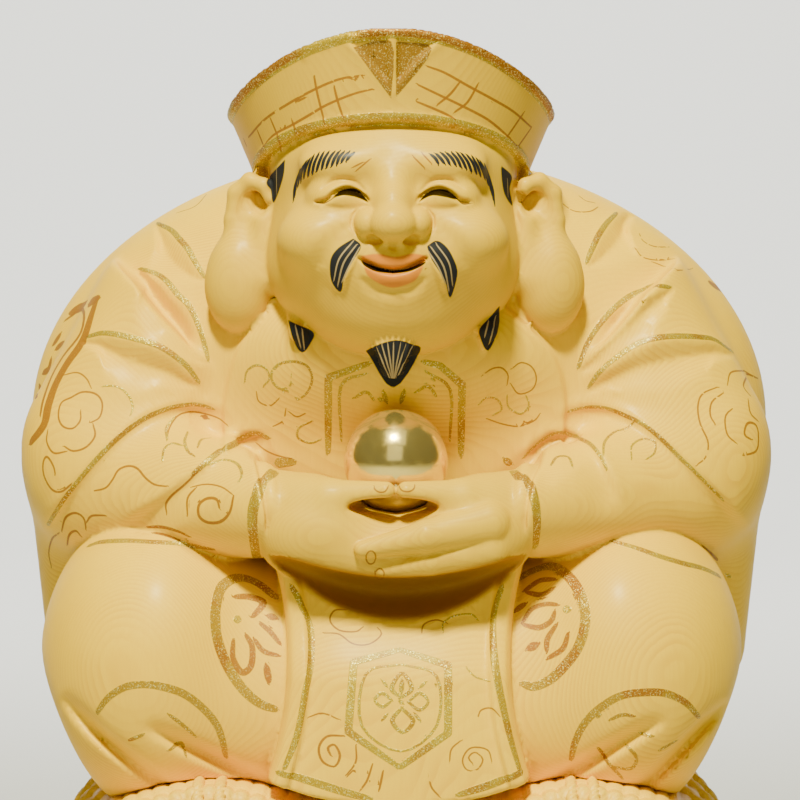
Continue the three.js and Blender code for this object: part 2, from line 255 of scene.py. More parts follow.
def torso(p):
    """The round back and chest, the hips, and the roll of cloth at the neck."""
    back = ellipsoid(p, [0.4, 7, 44.5], [51.8, 26.4, 37.6])
    back = join(back, ellipsoid(p, [0, 4.5, 12], [46, 24, 24]), 7)
    return join(back, ellipsoid(p, [-0.4, -8, 56], [24.5, 16.6, 13.4]), 5)


def sleeve(q):
    """Shoulder to elbow, the cloth that hangs at the hip, elbow to a curved cuff, and the roll
    of the inner sleeve at the wrist."""
    cloth = limb(q, [29, -2, 58], [38.8, -5, 42.4], 14, 12.8)
    cloth = join(cloth, limb(q, [41.8, 0, 34], [41.4, 6, 13], 9.2, 8), 3)
    cloth = join(cloth, limb(q, [38.7, -7.6, 37.4], [15, -27.5, 35.6], 11.3, 6.6), 5)
    up = q[:, 2] - 36
    place = q[:, 0] - 0.12 * up
    cloth = both(cloth, 17.4 + 0.018 * up**2 - place, 0.7)
    roll = limb(q, [24, -20.6, 36.2], [15.2, -27.4, 35.6], 6, 5.8)
    roll = both(roll, 14.9 + 0.02 * up**2 - place, 1.8)
    return np.minimum(cloth, roll)


def leg(q):
    """A round knee, the lap behind the hands and the shin that crosses before the belly."""
    above = q[:, 2:] > 13
    knee = ellipsoid(q, [31.4, -12, 13], np.where(above, [[16.8, 22.5, 21.6]], [[16.8, 22.5, 19.5]]))
    lap = limb(q, [28, -14, 15], [6, -16, 13], 16, 13)
    legs = join(join(knee, lap, 3), limb(q, [29, -18, 7.4], [8, -20, 8], 14.6, 12), 4)
    return both(legs, 0.9 * (q[:, 0] - 42.6 - 0.47 * q[:, 2]), 2.5)


# Folds of the sleeves as crescents: upper edge across and up, greatest width and depth
CRESCENTS = [
    ([(-33.6, 72.5), (-31.3, 71.7), (-28.7, 69.3), (-26.0, 65.2)], 2.7, 0.9),
    ([(-36.4, 66.6), (-33.2, 65.9), (-29.9, 63.2), (-27.4, 60.3), (-25.4, 53.8)], 2.9, 1.15),
    ([(-43.2, 56.9), (-40.2, 58.1), (-34.8, 57.4), (-30.1, 55.3), (-26.4, 51.0)], 3.1, 1.2),
    ([(33.4, 74.4), (30.6, 73.9), (27.8, 71.1), (25.9, 67.0)], 2.7, 0.9),
    ([(38.2, 64.4), (35.9, 64.2), (31.8, 62.8), (27.7, 59.2), (24.5, 52.8)], 2.9, 1.15),
    ([(46.8, 54.7), (43.9, 56.9), (38.4, 57.8), (32.5, 56.7), (27.8, 53.2), (25.8, 50.2)], 3.1, 1.2),
]
# Edges of the cloth: path, height of the step and width over which the lower side rises again
STEPS = [
    ([(-22, 46.6), (-25, 47.9), (-29.7, 48.3), (-34.7, 46.6), (-39.8, 42.1), (-45.2, 35.6), (-49.6, 29)],
     0.6, 6),
    ([(21, 46.4), (25.8, 48.1), (31.0, 47.2), (36.0, 44.1), (40.2, 40.0), (44.4, 35.7), (50, 28.6)],
     0.6, 6),
    ([(-16.4, 43.6), (-19.2, 44.8), (-22.7, 43.4), (-27.1, 40.2), (-32, 36.4), (-38, 32.4)], 0.75, 5),
    ([(16.6, 40.8), (19.5, 43.6), (21.9, 44.7), (26.1, 43.8), (28.2, 40.8), (31, 35)], 0.75, 5),
]
# Deep grooves low on the shins: path, width and depth
GROOVES = [
    ([(-45, 10.3), (-42.2, 7.6), (-39.6, 5.2), (-34.9, 1.4), (-31, -1.6)], 1.2, 1.5),
    ([(-33.6, 7.4), (-31, 6.0), (-27, 3.7), (-22.2, 1.1), (-18, -1)], 1.1, 1.5),
    ([(44.8, 9.2), (41.2, 5.9), (36.6, 1.3), (32.4, -3)], 1.2, 1.5),
    ([(36, 8.2), (31, 5.4), (26, 2.0), (20.2, -1.6)], 1.1, 1.5),
]


def beside(p, points, margin):
    """The points on the front near a path across and up: their numbers, signed distance to the
    path (positive on the outer side of one that runs outwards), share of its length and plain
    distance."""
    path = smooth_path(points)
    low = path.min(0) - margin
    high = path.max(0) + margin
    inside = (p[:, [0, 2]] > low).all(1) & (p[:, [0, 2]] < high).all(1)
    near = np.flatnonzero(inside & (p[:, 1] < 4))
    side, share, away = to_path(p[near], path)
    return near, side * np.sign(np.mean(path[:, 0])), np.clip(share, 0, 1), away


def robe_folds(p, f):
    """Carved folds: each rolls over below its upper edge to a crease and rises slowly again."""
    for points, width, depth in CRESCENTS:
        near, side, share, away = beside(p, points, 2.6 * width)
        middle = np.sin(np.pi * share)
        at = -side / (width * middle**0.7 + 0.05)
        wall = np.clip((at - 0.1) / 0.9, 0, 1) ** 1.6 * (1 - ramp(at, 1.0, 2.5))
        edge = 0.22 * middle * np.exp(-(((side + 0.4) / 0.9) ** 2))
        f[near] += depth * middle**0.6 * wall - edge
    for points, height, width in STEPS:
        near, side, share, away = beside(p, points, width + 1)
        fade = ramp(share, 0, 0.12) * (1 - ramp(share, 0.8, 1)) * (1 - ramp(away, width - 1, width))
        down = ramp(side, -0.5, 1.1) * (1 - ramp(side, 1.1, width))
        edge = 0.2 * np.exp(-(((side + 0.8) / 0.7) ** 2))
        f[near] += fade * (height * down - edge)
    for points, width, depth in GROOVES:
        near, side, share, away = beside(p, points, width + 2)
        fade = np.sin(np.pi * share * 0.95) ** 0.8
        bed = np.where(side < 0, side / 0.75, side / 1.25) ** 2 / width
        f[near] += 1.05 * depth * fade * np.exp(-bed)
    return f


# Folds of the back: distance from the middle at the foot and at the top, foot, top and depth
BACK_FOLDS = [(5, 13, -4, 44, 0.9), (15, 22, -2, 58, 1.2), (24, 33, 4, 60, 1.2), (33, 43, 8, 52, 1.0)]


def back_folds(p, f):
    """Long soft folds that fall down the back from the shoulders, plainer than those in front."""
    near = np.flatnonzero(p[:, 1] > 1)
    q = p[near]
    lean = np.sign(q[:, 0]) * (np.abs(q[:, 0]) > 2)
    for foot, top, low, high, depth in BACK_FOLDS:
        share = np.clip((q[:, 2] - low - 3 * lean) / (high - low), 0, 1)
        across = np.abs(q[:, 0]) + 1.1 * lean - (foot + (top - foot) * share**1.6)
        groove = ramp(across, -1.5, 1.5) * (1 - ramp(across, 1.5, 7))
        f[near] += depth * groove * np.sin(np.pi * share) ** 0.7 * ramp(q[:, 1], 1, 9)
    return f


# The under-robe's two edges, from the neck down
CHEST_EDGES = [
    [(-13.6, 65), (-17.4, 61.4), (-21.2, 56.8), (-23, 51.6), (-23.6, 46), (-22.6, 40)],
    [(13, 64), (16.6, 60.4), (19.8, 57.6), (22, 54.2), (23.2, 48.6), (22.4, 40)],
]


def chest_panel(p, f):
    """The under-robe shows between the sleeves, raised inside a curved edge."""
    near = np.flatnonzero((p[:, 1] < -8) & (p[:, 2] > 40) & (p[:, 2] < 68) & (np.abs(p[:, 0]) < 28))
    q = p[near]
    for points in CHEST_EDGES:
        path = smooth_path(points)
        side, share, away = to_path(q, path)
        inner = side * np.sign(np.mean(path[:, 0]))
        outside = ramp(-inner, -0.5, 0.35) * (1 - ramp(-inner, 0.6, 5.5))
        f[near] += 0.85 * outside * (1 - ramp(q[:, 2], 60, 66)) * ramp(q[:, 2], 41, 45)
    return f


PANEL_X = 0.4
PANEL_HALF = 14.9  # at its narrowest, above its middle
PANEL_HEM = -3
PANEL_TOP = 30
PANEL_BAND = 1.1  # how far its edge band stands out


def front_panel(p):
    """The robe's front hangs over the shins, in soft waves down and with its sides bent back;
    an edge band stands up round it."""
    level = (p[:, 2] - PANEL_HEM) / 31
    half = PANEL_HALF + 2.6 * ((level - 0.6) * 2) ** 2
    side = np.abs(p[:, 0] - PANEL_X) - half
    across = np.clip(side / half + 1, 0, 1.2)
    front = -32.4 - 0.175 * (28 - p[:, 2]) - 0.4 * np.sin(p[:, 2] / 5) + 2.4 * ramp(p[:, 2], 13, 22)
    front = -18 + (front + 18) * (1 - 0.13 * across**4)
    band = PANEL_BAND * (ramp(side, -3.4, -2.4) - ramp(side, -0.9, 0.1))
    below = PANEL_HEM + 3.2 * across**2 - p[:, 2]
    edge = np.maximum.reduce([side, below, p[:, 2] - PANEL_TOP, p[:, 1]])
    return both(front - band - p[:, 1], edge, 0.5)


# The hat's band: the ring's middle, half widths at the hem and how much they grow to the rim,
# and the levels of hem and rim with the hem's tilt and the rim's peaks in front and behind
HAT_X, HAT_Y = -0.7, -11
HEM_SIDE, HEM_FRONT = 18.4, 18
FLARE_SIDE, FLARE_FRONT = 3.8, 2
HEM_LEVEL, HEM_TILT = 79.3, 8.2
RIM_LEVEL, PEAK_FRONT, PEAK_BACK = 87.8, 11.8, 6
RIM_TOP = 1.02  # of the band's height
CREST_X = -0.5
CREST_DEPTH = 0.5


def in_band(p):
    """A place on the hat: ring (1 at the wall), up (0 at the hem, 1 at the rim), the band's
    height and the front share. Up follows from z = low + up (high - low), where low and high
    depend on the side and front of the ring."""
    up = np.full(len(p), 0.5)
    for _ in range(4):
        side = (p[:, 0] - HAT_X) / (HEM_SIDE + FLARE_SIDE * up)
        front = -(p[:, 1] - HAT_Y - up) / (HEM_FRONT + FLARE_FRONT * up)
        ring = np.hypot(side, front)
        s, c = side / np.maximum(ring, 1e-6), front / np.maximum(ring, 1e-6)
        peak = np.sign(c) * (1 - s * s + np.abs(c)) / 2
        low = HEM_LEVEL + HEM_TILT * front
        high = RIM_LEVEL + np.where(c > 0, PEAK_FRONT, PEAK_BACK) * peak * ring
        up = np.clip((p[:, 2] - low) / (high - low), -0.5, 1.5)
    return ring, up, high - low, c


def hat(p):
    """Tilted band that flares and peaks over the brow, raised at rim and hem, with a low crown
    inside its rim and the crest's two sunk triangles on its front."""
    ring, up, tall, front = in_band(p)
    wall = (ring - 1) * 19.5 - 0.28 * ramp(up * tall, tall - 1.1, tall - 0.8)
    wall = wall - 0.18 * (1 - ramp(up * tall, 0.95, 1.15))
    crown = RIM_TOP - 0.1 * ramp(1 - ring, 0.11, 0.2)
    # the triangles stand on their points either side of a bar, with raised edges
    x = np.abs(p[:, 0] - CREST_X)
    inside = np.minimum(np.minimum(up - 0.33 - 0.098 * x, 0.93 - up) * tall * 0.6, x - 0.5)
    sunk = CREST_DEPTH * ramp(inside, -0.1, 0.5)
    rib = 0.14 * np.exp(-(((inside + 0.4) / 0.35) ** 2)) * ramp(up, 0.15, 0.25) * (1 - ramp(up, 0.9, 1))
    wall = wall + np.where(front > 0, (sunk - rib) * (np.abs(p[:, 0]) < 8), 0)
    return both(both(wall, (up - crown) * tall, 0.7), -up * tall, 0.6)


def hat_place(p):
    """Height above the hem, depth below the rim and ring, which place the hat's painted bands."""
    ring, up, tall, front = in_band(p)
    off = np.where((up < -0.03) | (ring < 0.8), 9.0, 0)
    return up * tall + off, (RIM_TOP - up) * tall + off, ring


def skull(p):
    """Skull, full cheeks and jaw, brow, nose and lips as soft joins."""
    q = fold_over(p, MIDDLE)
    m = p - [MIDDLE, 0, 0]
    nose = chain(m, [(0, -29.6, 80), (0, -32, 76.8), (0, -33.4, 74.4)], [1.5, 2.0, 2.6], 1)
    f = join(ellipsoid(m, [0, -13, 75], [16.5, 19, 17]), ellipsoid(m, [0, -12.2, 81], [16.8, 17.6, 11]), 2)
    f = join(f, ellipsoid(m, [0, -17, 68], [17.2, 16.4, 12.4]), 3)  # jaw
    f = join(f, ellipsoid(m, [0, -23.5, 61.6], [9, 7.6, 5.2]), 4)  # chin
    f = join(f, ellipsoid(q, [9.6, -27.6, 71.6], [5.8, 5.4, 4.6]), 3)  # cheeks
    f = join(f, ellipsoid(q, [6.6, -26.8, 81.6], [5.6, 3.8, 2.6]), 3)  # brows
    f = join(f, ellipsoid(m, [0, -30.4, 68.2], [5.6, 3.2, 4.4]), 2.6)  # mouth
    f = both(f, -ellipsoid(q, [3.6, -34.4, 79.0], [1.7, 3.2, 1.7]), 2.6)  # hollows beside the nose
    f = join(f, ellipsoid(q, [7.0, -28.0, 77.2], [4.3, 3.6, 2.7]), 1.2)  # eyes
    f = join(f, nose, 2.0)
    f = join(f, ellipsoid(m, [0, -33.9, 73.9], [3.1, 2.7, 2.3]), 1.0)  # tip of the nose
    f = join(f, ellipsoid(q, [3.35, -31.9, 73.9], [1.9, 2.6, 2.1]), 0.45)  # its wings
    f = both(f, -ellipsoid(q, [2.5, -33.8, 71.9], [1.25, 1.2, 0.7]), 0.4)  # nostrils
    f = join(f, limb(q, [0, -32.9, 69.4], [3.9, -31.6, 69.6], 1.0, 0.35), 0.9)  # upper lip
    return join(f, limb(q, [0, -32.4, 66.9], [2.6, -31.4, 67.6], 1.25, 0.5), 0.9)  # lower lip


# The face's carved lines on its left half, across from the face's middle and up: path, half
# width and depth, which is below zero where the line is raised
FACE_LINES = [
    ([(3.2, 76.9), (4.4, 77.9), (6.0, 78.4), (7.6, 77.9), (8.8, 77.0), (10.2, 76.7)], 0.36, 0.95),
    ([(3.7, 78.2), (5.4, 79.5), (7.4, 79.6), (9.4, 78.4)], 0.4, 0.3),
    ([(3.5, 76.3), (5.6, 75.9), (7.8, 76.0), (9.6, 76.5)], 0.4, 0.18),
    ([(4.6, 75.8), (5.25, 74.8), (5.3, 73.6), (4.8, 72.5)], 0.24, 0.3),
    ([(6.2, 73.4), (7.8, 71.8), (9.2, 70.2), (9.8, 68.4)], 1.3, 0.4),
    ([(-0.3, 67.7), (1.6, 68.0), (3.2, 68.7), (4.5, 69.5)], 0.38, 1.2),
    ([(0, 64.9), (2.4, 65.3), (4.0, 66.6)], 0.9, 0.5),
    ([(0.1, 71.6), (0.1, 70.6)], 0.5, 0.3),
    ([(5.4, 70.6), (6.6, 69.2), (7.3, 67.2), (7.7, 65.2)], 1.0, -0.5),
    ([(5.0, 69.4), (5.7, 68.0), (6.4, 66.4), (6.9, 65.0)], 0.45, -0.4),
]


def face_lines(p, f):
    """Carves the lines of eyes, cheeks and mouth, and one wrinkle below the hat."""
    near = np.flatnonzero((p[:, 1] < -18) & (p[:, 2] > 54) & (p[:, 2] < 84) & (np.abs(p[:, 0]) < 18))
    q = fold_over(p[near], MIDDLE)
    for points, width, depth in FACE_LINES:
        path = smooth_path(points)
        side, share, away = to_path(q, path)
        end = 0.45 + 0.55 * np.sin(np.pi * np.clip(share, 0, 1)) ** 0.5
        if path[0, 0] < 0.2:
            end = 0.45 + 0.55 * np.cos(np.pi / 2 * np.clip(share, 0, 1)) ** 0.5
        f[near] += depth * end * np.exp(-((away / (width * end)) ** 2) * 0.9)
    side, share, away = to_path(q, smooth_path([(0, 86.0), (3.4, 85.8), (6, 85.0)]))
    f[near] += 0.12 * np.exp(-((away / 0.5) ** 2))
    return f


BEARD_TOP = 61.5
BEARD_TIP = 51.5
BEARD_STRANDS = 9


def beard(p):
    """A fan of strands that narrows to a tip below the chin, and a tuft below each cheek."""
    down = np.clip((60.2 - p[:, 2]) / 8.6, 0, 1)
    half = 3.9 * (1 - down) ** 0.85 + 0.25
    thick = 2.1 * (1 - down) + 0.4
    middle = -28.4 - 1.2 * np.sin(np.pi * np.clip(down * 0.9, 0, 1)) + 1.2 * down
    across = (p[:, 0] - MIDDLE) / half
    f = (np.hypot(across, (p[:, 1] - middle) / thick) - 1) * thick
    f = f + 0.16 * (1 - np.cos(np.pi * BEARD_STRANDS * across)) * (1 - down)
    f = both(f, np.maximum(p[:, 2] - BEARD_TOP, BEARD_TIP - p[:, 2]), 0.3)
    tufts = [(13.2, -20.4, 61.6), (12.7, -22.4, 59), (12.0, -22.4, 56.6)]
    return np.minimum(f, chain(fold_over(p, MIDDLE), tufts, [1.2, 1.25, 0.4]))


def ear(q):
    """A curled rim round a hollow, and the long hanging lobe of good fortune."""
    f = join(limb(q, [19.2, -13.0, 75.4], [21.2, -15, 68.6], 2.9, 2.6),
             ellipsoid(q, [20.9, -15.6, 64.8], [4.9, 4.2, 6.6]), 2.4)
    f = join(f, limb(q, [17.6, -16.4, 75.0], [17.8, -17, 66], 1.4, 2.4), 1.2)
    f = both(f, -ellipsoid(q, [18.5, -17.6, 76.2], [1.5, 2.6, 1.9]), 0.8)
    rim = [(16.9, -17, 76.6), (17.7, -16.6, 78.4), (19.6, -15.4, 78.9), (21.4, -14.8, 77.2),
           (21.9, -15, 73.6), (21.6, -15.4, 70)]
    return join(f, chain(q, rim, [0.75, 0.95, 1.15, 1.25, 1.2, 1.6], 0.5), 0.5)


# The fingers of the left hand, in front: points from the knuckle to the tip, and radii
FINGERS = [
    ([(12, -33.0, 34.2), (4, -35.8, 32.8), (-4.4, -36.0, 31.1)], [3.4, 2.2, 1.15]),
    ([(12, -32.6, 31.0), (4.4, -34.8, 29.4), (-1.8, -34.8, 28.2)], [3.4, 2.0, 1.1]),
    ([(10.6, -31.0, 29.0), (4.6, -33.0, 27.3), (-0.4, -32.8, 26.2)], [3.2, 1.9, 1.1]),
]


def hands(p):
    """Two palms that cup the ball, thumbs tip to tip above and the left fingers in front."""
    q = fold_over(p, 0)
    f = ellipsoid(q, [9.6, -28.6, 32.6], [9.2, 7.4, 7])
    f = join(f, limb(q, [19, -25, 36], [12, -28, 35.4], 5, 4.8), 2)
    f = join(f, ellipsoid(p, [-0.5, -30, 30], [12, 6, 5.3]), 2)
    f = join(f, chain(q, [(15, -28, 36.4), (8.8, -32.0, 37.5), (1.4, -34.5, 38.6)], [3.4, 2.5, 1.4]), 1.8)
    f = both(f, -ellipsoid(p, [-0.4, -34, 36.6], [5.9, 7.5, 1.3]), 0.8)  # the opening under the ball
    for points, radii in FINGERS:
        f = join(f, chain(p, points, radii), 0.25)
    return f


def below_hands(p):
    """The hollow undercut below the hands; it rises to both sides."""
    q = p.copy()
    q[:, 2] -= 0.018 * (p[:, 0] - 0.5) ** 2
    return ellipsoid(q, [0.5, -34.5, 24.2], [17.5, 8.5, 3.0])


def bales(p):
    """The two bales that the figure is carved to sit on, with their girth ropes."""
    along = p[:, 1] * PART
    girth = BALE_RADIUS + BALE_SWELL * np.cos(np.pi * along / (2 * BALE_HALF))
    bed = girth + 0.0015 * (1 - np.abs(along[:, None] - ROPE_PLACES) / 0.0026).max(1)
    around = np.hypot(np.abs(p[:, 0]) - BALE_X / PART, p[:, 2] + (SEAT - BALE_Z) / PART)
    return np.maximum(around - np.maximum(girth, bed) / PART, (np.abs(along) - BALE_HALF) / PART)


def wood(p):
    """The whole figure: a field over points in hundredths of its height, x to its left, y to
    its back and z up from the seat, below zero inside the wood."""
    q = fold_over(p)
    f = join(torso(p), sleeve(q), 1.4)
    f = chest_panel(p, f)
    f = robe_folds(p, join(f, leg(fold_over(p, -0.6)), 0.5))
    f = back_folds(p, f)
    f = join(f, front_panel(p), 0.4)
    lap = np.flatnonzero((p[:, 2] > 20) & (p[:, 2] < 44) & (p[:, 1] < -16) & (np.abs(p[:, 0]) < 24))
    f[lap] = both(join(f[lap], hands(p[lap]), 0.4), -below_hands(p[lap]), 0.5)
    head = np.flatnonzero((p[:, 2] > 48) & (np.abs(p[:, 0]) < 30))
    h = p[head]
    face = face_lines(h, skull(h))
    face = join(face, ear(fold_over(h, -0.2)), 0.6)
    face = join(face, beard(h), 0.3)
    face = join(face, hat(h), 0.25)
    f[head] = join(f[head], face, 0.3)
    ball = np.linalg.norm(p - BALL_CENTRE, axis=1) - BALL_RADIUS - ROOM
    f = both(f, -ball, 0.05)
    seat = np.flatnonzero(p[:, 2] < 8)
    f[seat] = both(f[seat], ROOM - bales(p[seat]), 0.1)
    return f


def settle(field, p, rounds=3, reach=0.4, step=0.02):
    """Moves points onto the field's surface: p -= f g/|g|^2 with g from forward differences."""
    p = p.copy()
    for _ in range(rounds):
        f = field(p)
        g = np.stack([field(p + step * axis) - f for axis in np.eye(3)], 1) / step
        move = -(f / np.maximum((g * g).sum(1), 0.3))[:, None] * g
        size = np.linalg.norm(move, axis=1)
        p += move * np.minimum(1, reach / np.maximum(size, 1e-9))[:, None]
    return p


def wrap(field, low, high, cell, coarse=4):
    """Surface net: the cells of a fine grid that the surface crosses, each with one vertex at
    the mean of its edge crossings, joined across every crossed grid edge by a square. A grid
    that is coarser so many times shows first where the surface can be."""
    low = np.asarray(low, float)
    count = np.ceil((np.asarray(high) - low) / (cell * coarse)).astype(int)
    axes = [low[i] + cell * coarse * np.arange(count[i] + 1) for i in range(3)]
    grid = np.stack(np.meshgrid(*axes, indexing="ij"), -1).reshape(-1, 3)
    rough = field(grid).reshape(count + 1)
    block = np.zeros(count, bool)
    reach = cell * coarse * 1.9
    for i in (0, 1):
        for j in (0, 1):
            for k in (0, 1):
                part = rough[i : count[0] + i, j : count[1] + j, k : count[2] + k]
                block |= np.abs(part) < reach
    fine = np.zeros(count * coarse + 1, bool)
    for b in np.argwhere(block):
        s = b * coarse
        fine[s[0] : s[0] + coarse + 1, s[1] : s[1] + coarse + 1, s[2] : s[2] + coarse + 1] = True
    value = np.full(fine.shape, np.nan)
    spots = np.argwhere(fine)
    value[fine] = field(low + cell * spots)
    corner = [value[i : fine.shape[0] - 1 + i, j : fine.shape[1] - 1 + j, k : fine.shape[2] - 1 + k]
              for i in (0, 1) for j in (0, 1) for k in (0, 1)]
    known = np.logical_and.reduce([~np.isnan(c) for c in corner])
    inside = sum((c < 0).astype(np.int8) for c in corner)
    active = known & (inside > 0) & (inside < 8)
    number = np.full(active.shape, -1)
    cells = np.argwhere(active)
    number[active] = np.arange(len(cells))
    total = np.zeros((len(cells), 3))
    crossings = np.zeros(len(cells))
    picked = [c[active] for c in corner]
    steps = [np.array([i, j, k], float) for i in (0, 1) for j in (0, 1) for k in (0, 1)]
    for a in range(8):
        for b in range(a + 1, 8):
            if np.abs(steps[a] - steps[b]).sum() == 1:
                hit = (picked[a] < 0) != (picked[b] < 0)
                t = np.where(hit, picked[a] / np.where(hit, picked[a] - picked[b], 1), 0)
                total += np.where(hit[:, None], steps[a] + t[:, None] * (steps[b] - steps[a]), 0)
                crossings += hit
    points = low + cell * (cells + total / crossings[:, None])
    squares = []
    for axis in range(3):
        u, v = (axis + 1) % 3, (axis + 2) % 3
        here = value
        there = np.roll(value, -1, axis)
        hit = ((here < 0) != (there < 0)) & ~np.isnan(here) & ~np.isnan(there)
        edges = np.argwhere(hit)
        edges = edges[(edges[:, axis] < fine.shape[axis] - 1) & (edges[:, [u, v]] > 0).all(1)]
        edges = edges[(edges[:, u] < fine.shape[u] - 1) & (edges[:, v] < fine.shape[v] - 1)]
        du, dv = np.eye(3, dtype=int)[u], np.eye(3, dtype=int)[v]
        ring = [number[tuple((edges - a * du - b * dv).T)] for a, b in ((1, 1), (0, 1), (0, 0), (1, 0))]
        quad = np.stack(ring, 1)
        out = value[tuple(edges.T)] < 0
        quad[~out] = quad[~out][:, ::-1]
        squares.append(quad[(quad >= 0).all(1)])
    quads = np.vstack(squares)
    return points, np.vstack([quads[:, [0, 1, 2]], quads[:, [0, 2, 3]]])


def refine(points, triangles, wanted):
    """Splits every edge whose middle is wanted, and its triangles into two, three or four."""
    sides = np.sort(triangles[:, [0, 1, 1, 2, 2, 0]].reshape(-1, 2), axis=1)
    edges, where = np.unique(sides, axis=0, return_inverse=True)
    where = where.reshape(-1, 3)
    middles = points[edges].mean(1)
    marked = wanted(middles, np.linalg.norm(points[edges[:, 0]] - points[edges[:, 1]], axis=1))
    # a triangle with two marked edges takes the third too, so that its parts stay even
    for _ in range(3):
        two = marked[where].sum(1) == 2
        marked[where[two].ravel()] = True
    new = np.full(len(edges), -1)
    new[marked] = len(points) + np.arange(marked.sum())
    points = np.vstack([points, middles[marked]])
    m = new[where]
    hits = (m >= 0).sum(1)
    a, b, c = triangles.T
    out = [triangles[hits == 0]]
    four = hits == 3
    k = m[four]
    out += [np.stack([a[four], k[:, 0], k[:, 2]], 1), np.stack([k[:, 0], b[four], k[:, 1]], 1),
            np.stack([k[:, 2], k[:, 1], c[four]], 1), k]
    for turn in range(3):
        one = (hits == 1) & (m[:, turn] >= 0)
        p, q, r = triangles[one][:, [turn, (turn + 1) % 3, (turn + 2) % 3]].T
        s = m[one, turn]
        out += [np.stack([p, s, r], 1), np.stack([s, q, r], 1)]
    for turn in range(3):
        two = (hits == 2) & (m[:, turn] < 0)
        p, q, r = triangles[two][:, [turn, (turn + 1) % 3, (turn + 2) % 3]].T
        s, t = m[two, (turn + 1) % 3], m[two, (turn + 2) % 3]
        out += [np.stack([p, q, s], 1), np.stack([p, s, t], 1), np.stack([t, s, r], 1)]
    return points, np.vstack(out), len(points) - marked.sum()


def soften(points, triangles, wanted, amount=0.5):
    """Moves the wanted points towards the mean of their neighbours."""
    edges = np.unique(np.sort(triangles[:, [0, 1, 1, 2, 2, 0]].reshape(-1, 2), axis=1), axis=0)
    a, b = edges.T
    degree = np.bincount(edges.ravel(), minlength=len(points))
    mean = np.stack([np.bincount(a, points[b, i], len(points)) + np.bincount(b, points[a, i], len(points))
                     for i in range(3)], 1) / np.maximum(degree, 1)[:, None]
    points = points.copy()
    points[wanted] += amount * (mean - points)[wanted]
    return points


# The painted lines were read on enlarged views of the photograph: the left and top edge
# of each view in the photograph's pixels, and how many times it is enlarged. Left is the
# picture's left.
WHOLE = (0, 0, 1)
HEAD = (200, 0, 3.92)
UPPER_LEFT = (25, 170, 5.2267)
LOWER_LEFT = (25, 380, 5.2267)
RIGHT = (490, 170, 5.2267)
HANDS = (230, 440, 4.752)
LEFT_KNEE = (30, 540, 4.238)
RIGHT_KNEE = (400, 540, 4.238)
PHOTO_SIDE = 800  # pixels
PIXELS_IN_PART = 7.45  # in a hundredth of the figure's height, at its front
NEAREST = 42  # no wood lies further in front of the figure's middle


def read_off(rows):
    """Rows of (view, points read on it) as places across and up, to the nearest tenth: where
    the camera's rays through those pixels first meet the wood."""
    pixels = np.vstack([np.divide(points, view[2]) + view[:2] for view, points in rows]) - PHOTO_SIDE / 2
    right, down = [1, 0, 0], [0, -math.sin(CAMERA_TILT), -math.cos(CAMERA_TILT)]
    rays = LENS / SENSOR * PHOTO_SIDE * np.array(toward) + pixels @ [right, down]
    rays /= np.linalg.norm(rays, axis=1)[:, None]
    eye = (np.array(camera.location) - [0, MIDDLE_Y, SEAT]) / PART
    p = eye - ((NEAREST + eye[1]) / rays[:, 1])[:, None] * rays
    for _ in range(220):
        f = wood(p)
        p += np.where(f > 0.004, np.clip(0.55 * f, 0.004, 4), 0)[:, None] * rays
        if (f < 0.004).all():
            break
    return np.split(np.round(p[:, [0, 2]], 1), np.cumsum([len(points) for view, points in rows])[:-1])


def on_front(paths):
    """Paths across and up as paths on the wood: where level rays from the front first meet it."""
    x, z = np.vstack(paths).T
    p = np.stack([x, np.full(len(x), 1.0 - NEAREST), z], 1)
    for _ in range(90):
        f = wood(p)
        p[:, 1] += np.where(f > 0.01, np.clip(0.6 * f, 0, 3), 0)
        if (f < 0.01).all() or (p[:, 1] > 30).all():
            break
    return np.split(p, np.cumsum([len(path) for path in paths])[:-1])


def straight_path(points):
    """The points joined by straight runs, cut into steps shorter than 0.8."""
    path = [points[:1]]
    for a, b in zip(points[:-1], points[1:]):
        steps = int(np.hypot(b[0] - a[0], b[1] - a[1]) / 0.8) + 1
        path.append(np.linspace(a, b, steps + 1)[1:])
    return np.vstack(path)


def evenly(line, count):
    """Points at equal distances along a line."""
    run = np.concatenate([[0], np.cumsum(np.hypot(*np.diff(line, axis=0).T))])
    places = np.linspace(0, run[-1], count)
    return np.stack([np.interp(places, run, line[:, 0]), np.interp(places, run, line[:, 1])], 1)


def bristles(root, tip, count=15):
    """Short strokes of a brow from its root line to its tip line, bowed a little outwards."""
    start, end = evenly(root, count), evenly(tip, count)
    middle = (start + end) / 2 + [0.12 * np.sign(root[0, 0]), 0.1]
    return np.round(np.stack([start, middle, end], 1), 1)


def unwound(stroke, room=1.5):
    """Cuts a stroke that comes back near itself into pieces that don't."""
    width, path, tone = stroke
    run = np.concatenate([[0], np.cumsum(np.linalg.norm(np.diff(path, axis=0), axis=1))])
    near = np.linalg.norm(path[:, None] - path[None], axis=2) < room
    if len(path) < 8 or not (near & (np.abs(run[:, None] - run[None]) > 2.4 * room)).any():
        return [stroke]
    half = len(path) // 2
    return unwound((width, path[:half + 1], tone)) + unwound((width, path[half:], tone))


def apart(strokes, room=1.5):
    """Shares strokes out over layers, so that no two in a layer come nearer than room."""
    layers = []
    for stroke in strokes:
        path = stroke[1]
        for layer in layers:
            if all(np.linalg.norm(path[:, None] - other[1][None], axis=2).min() > room for other in layer):
                layer.append(stroke)
                break
        else:
            layers.append([stroke])
    return layers


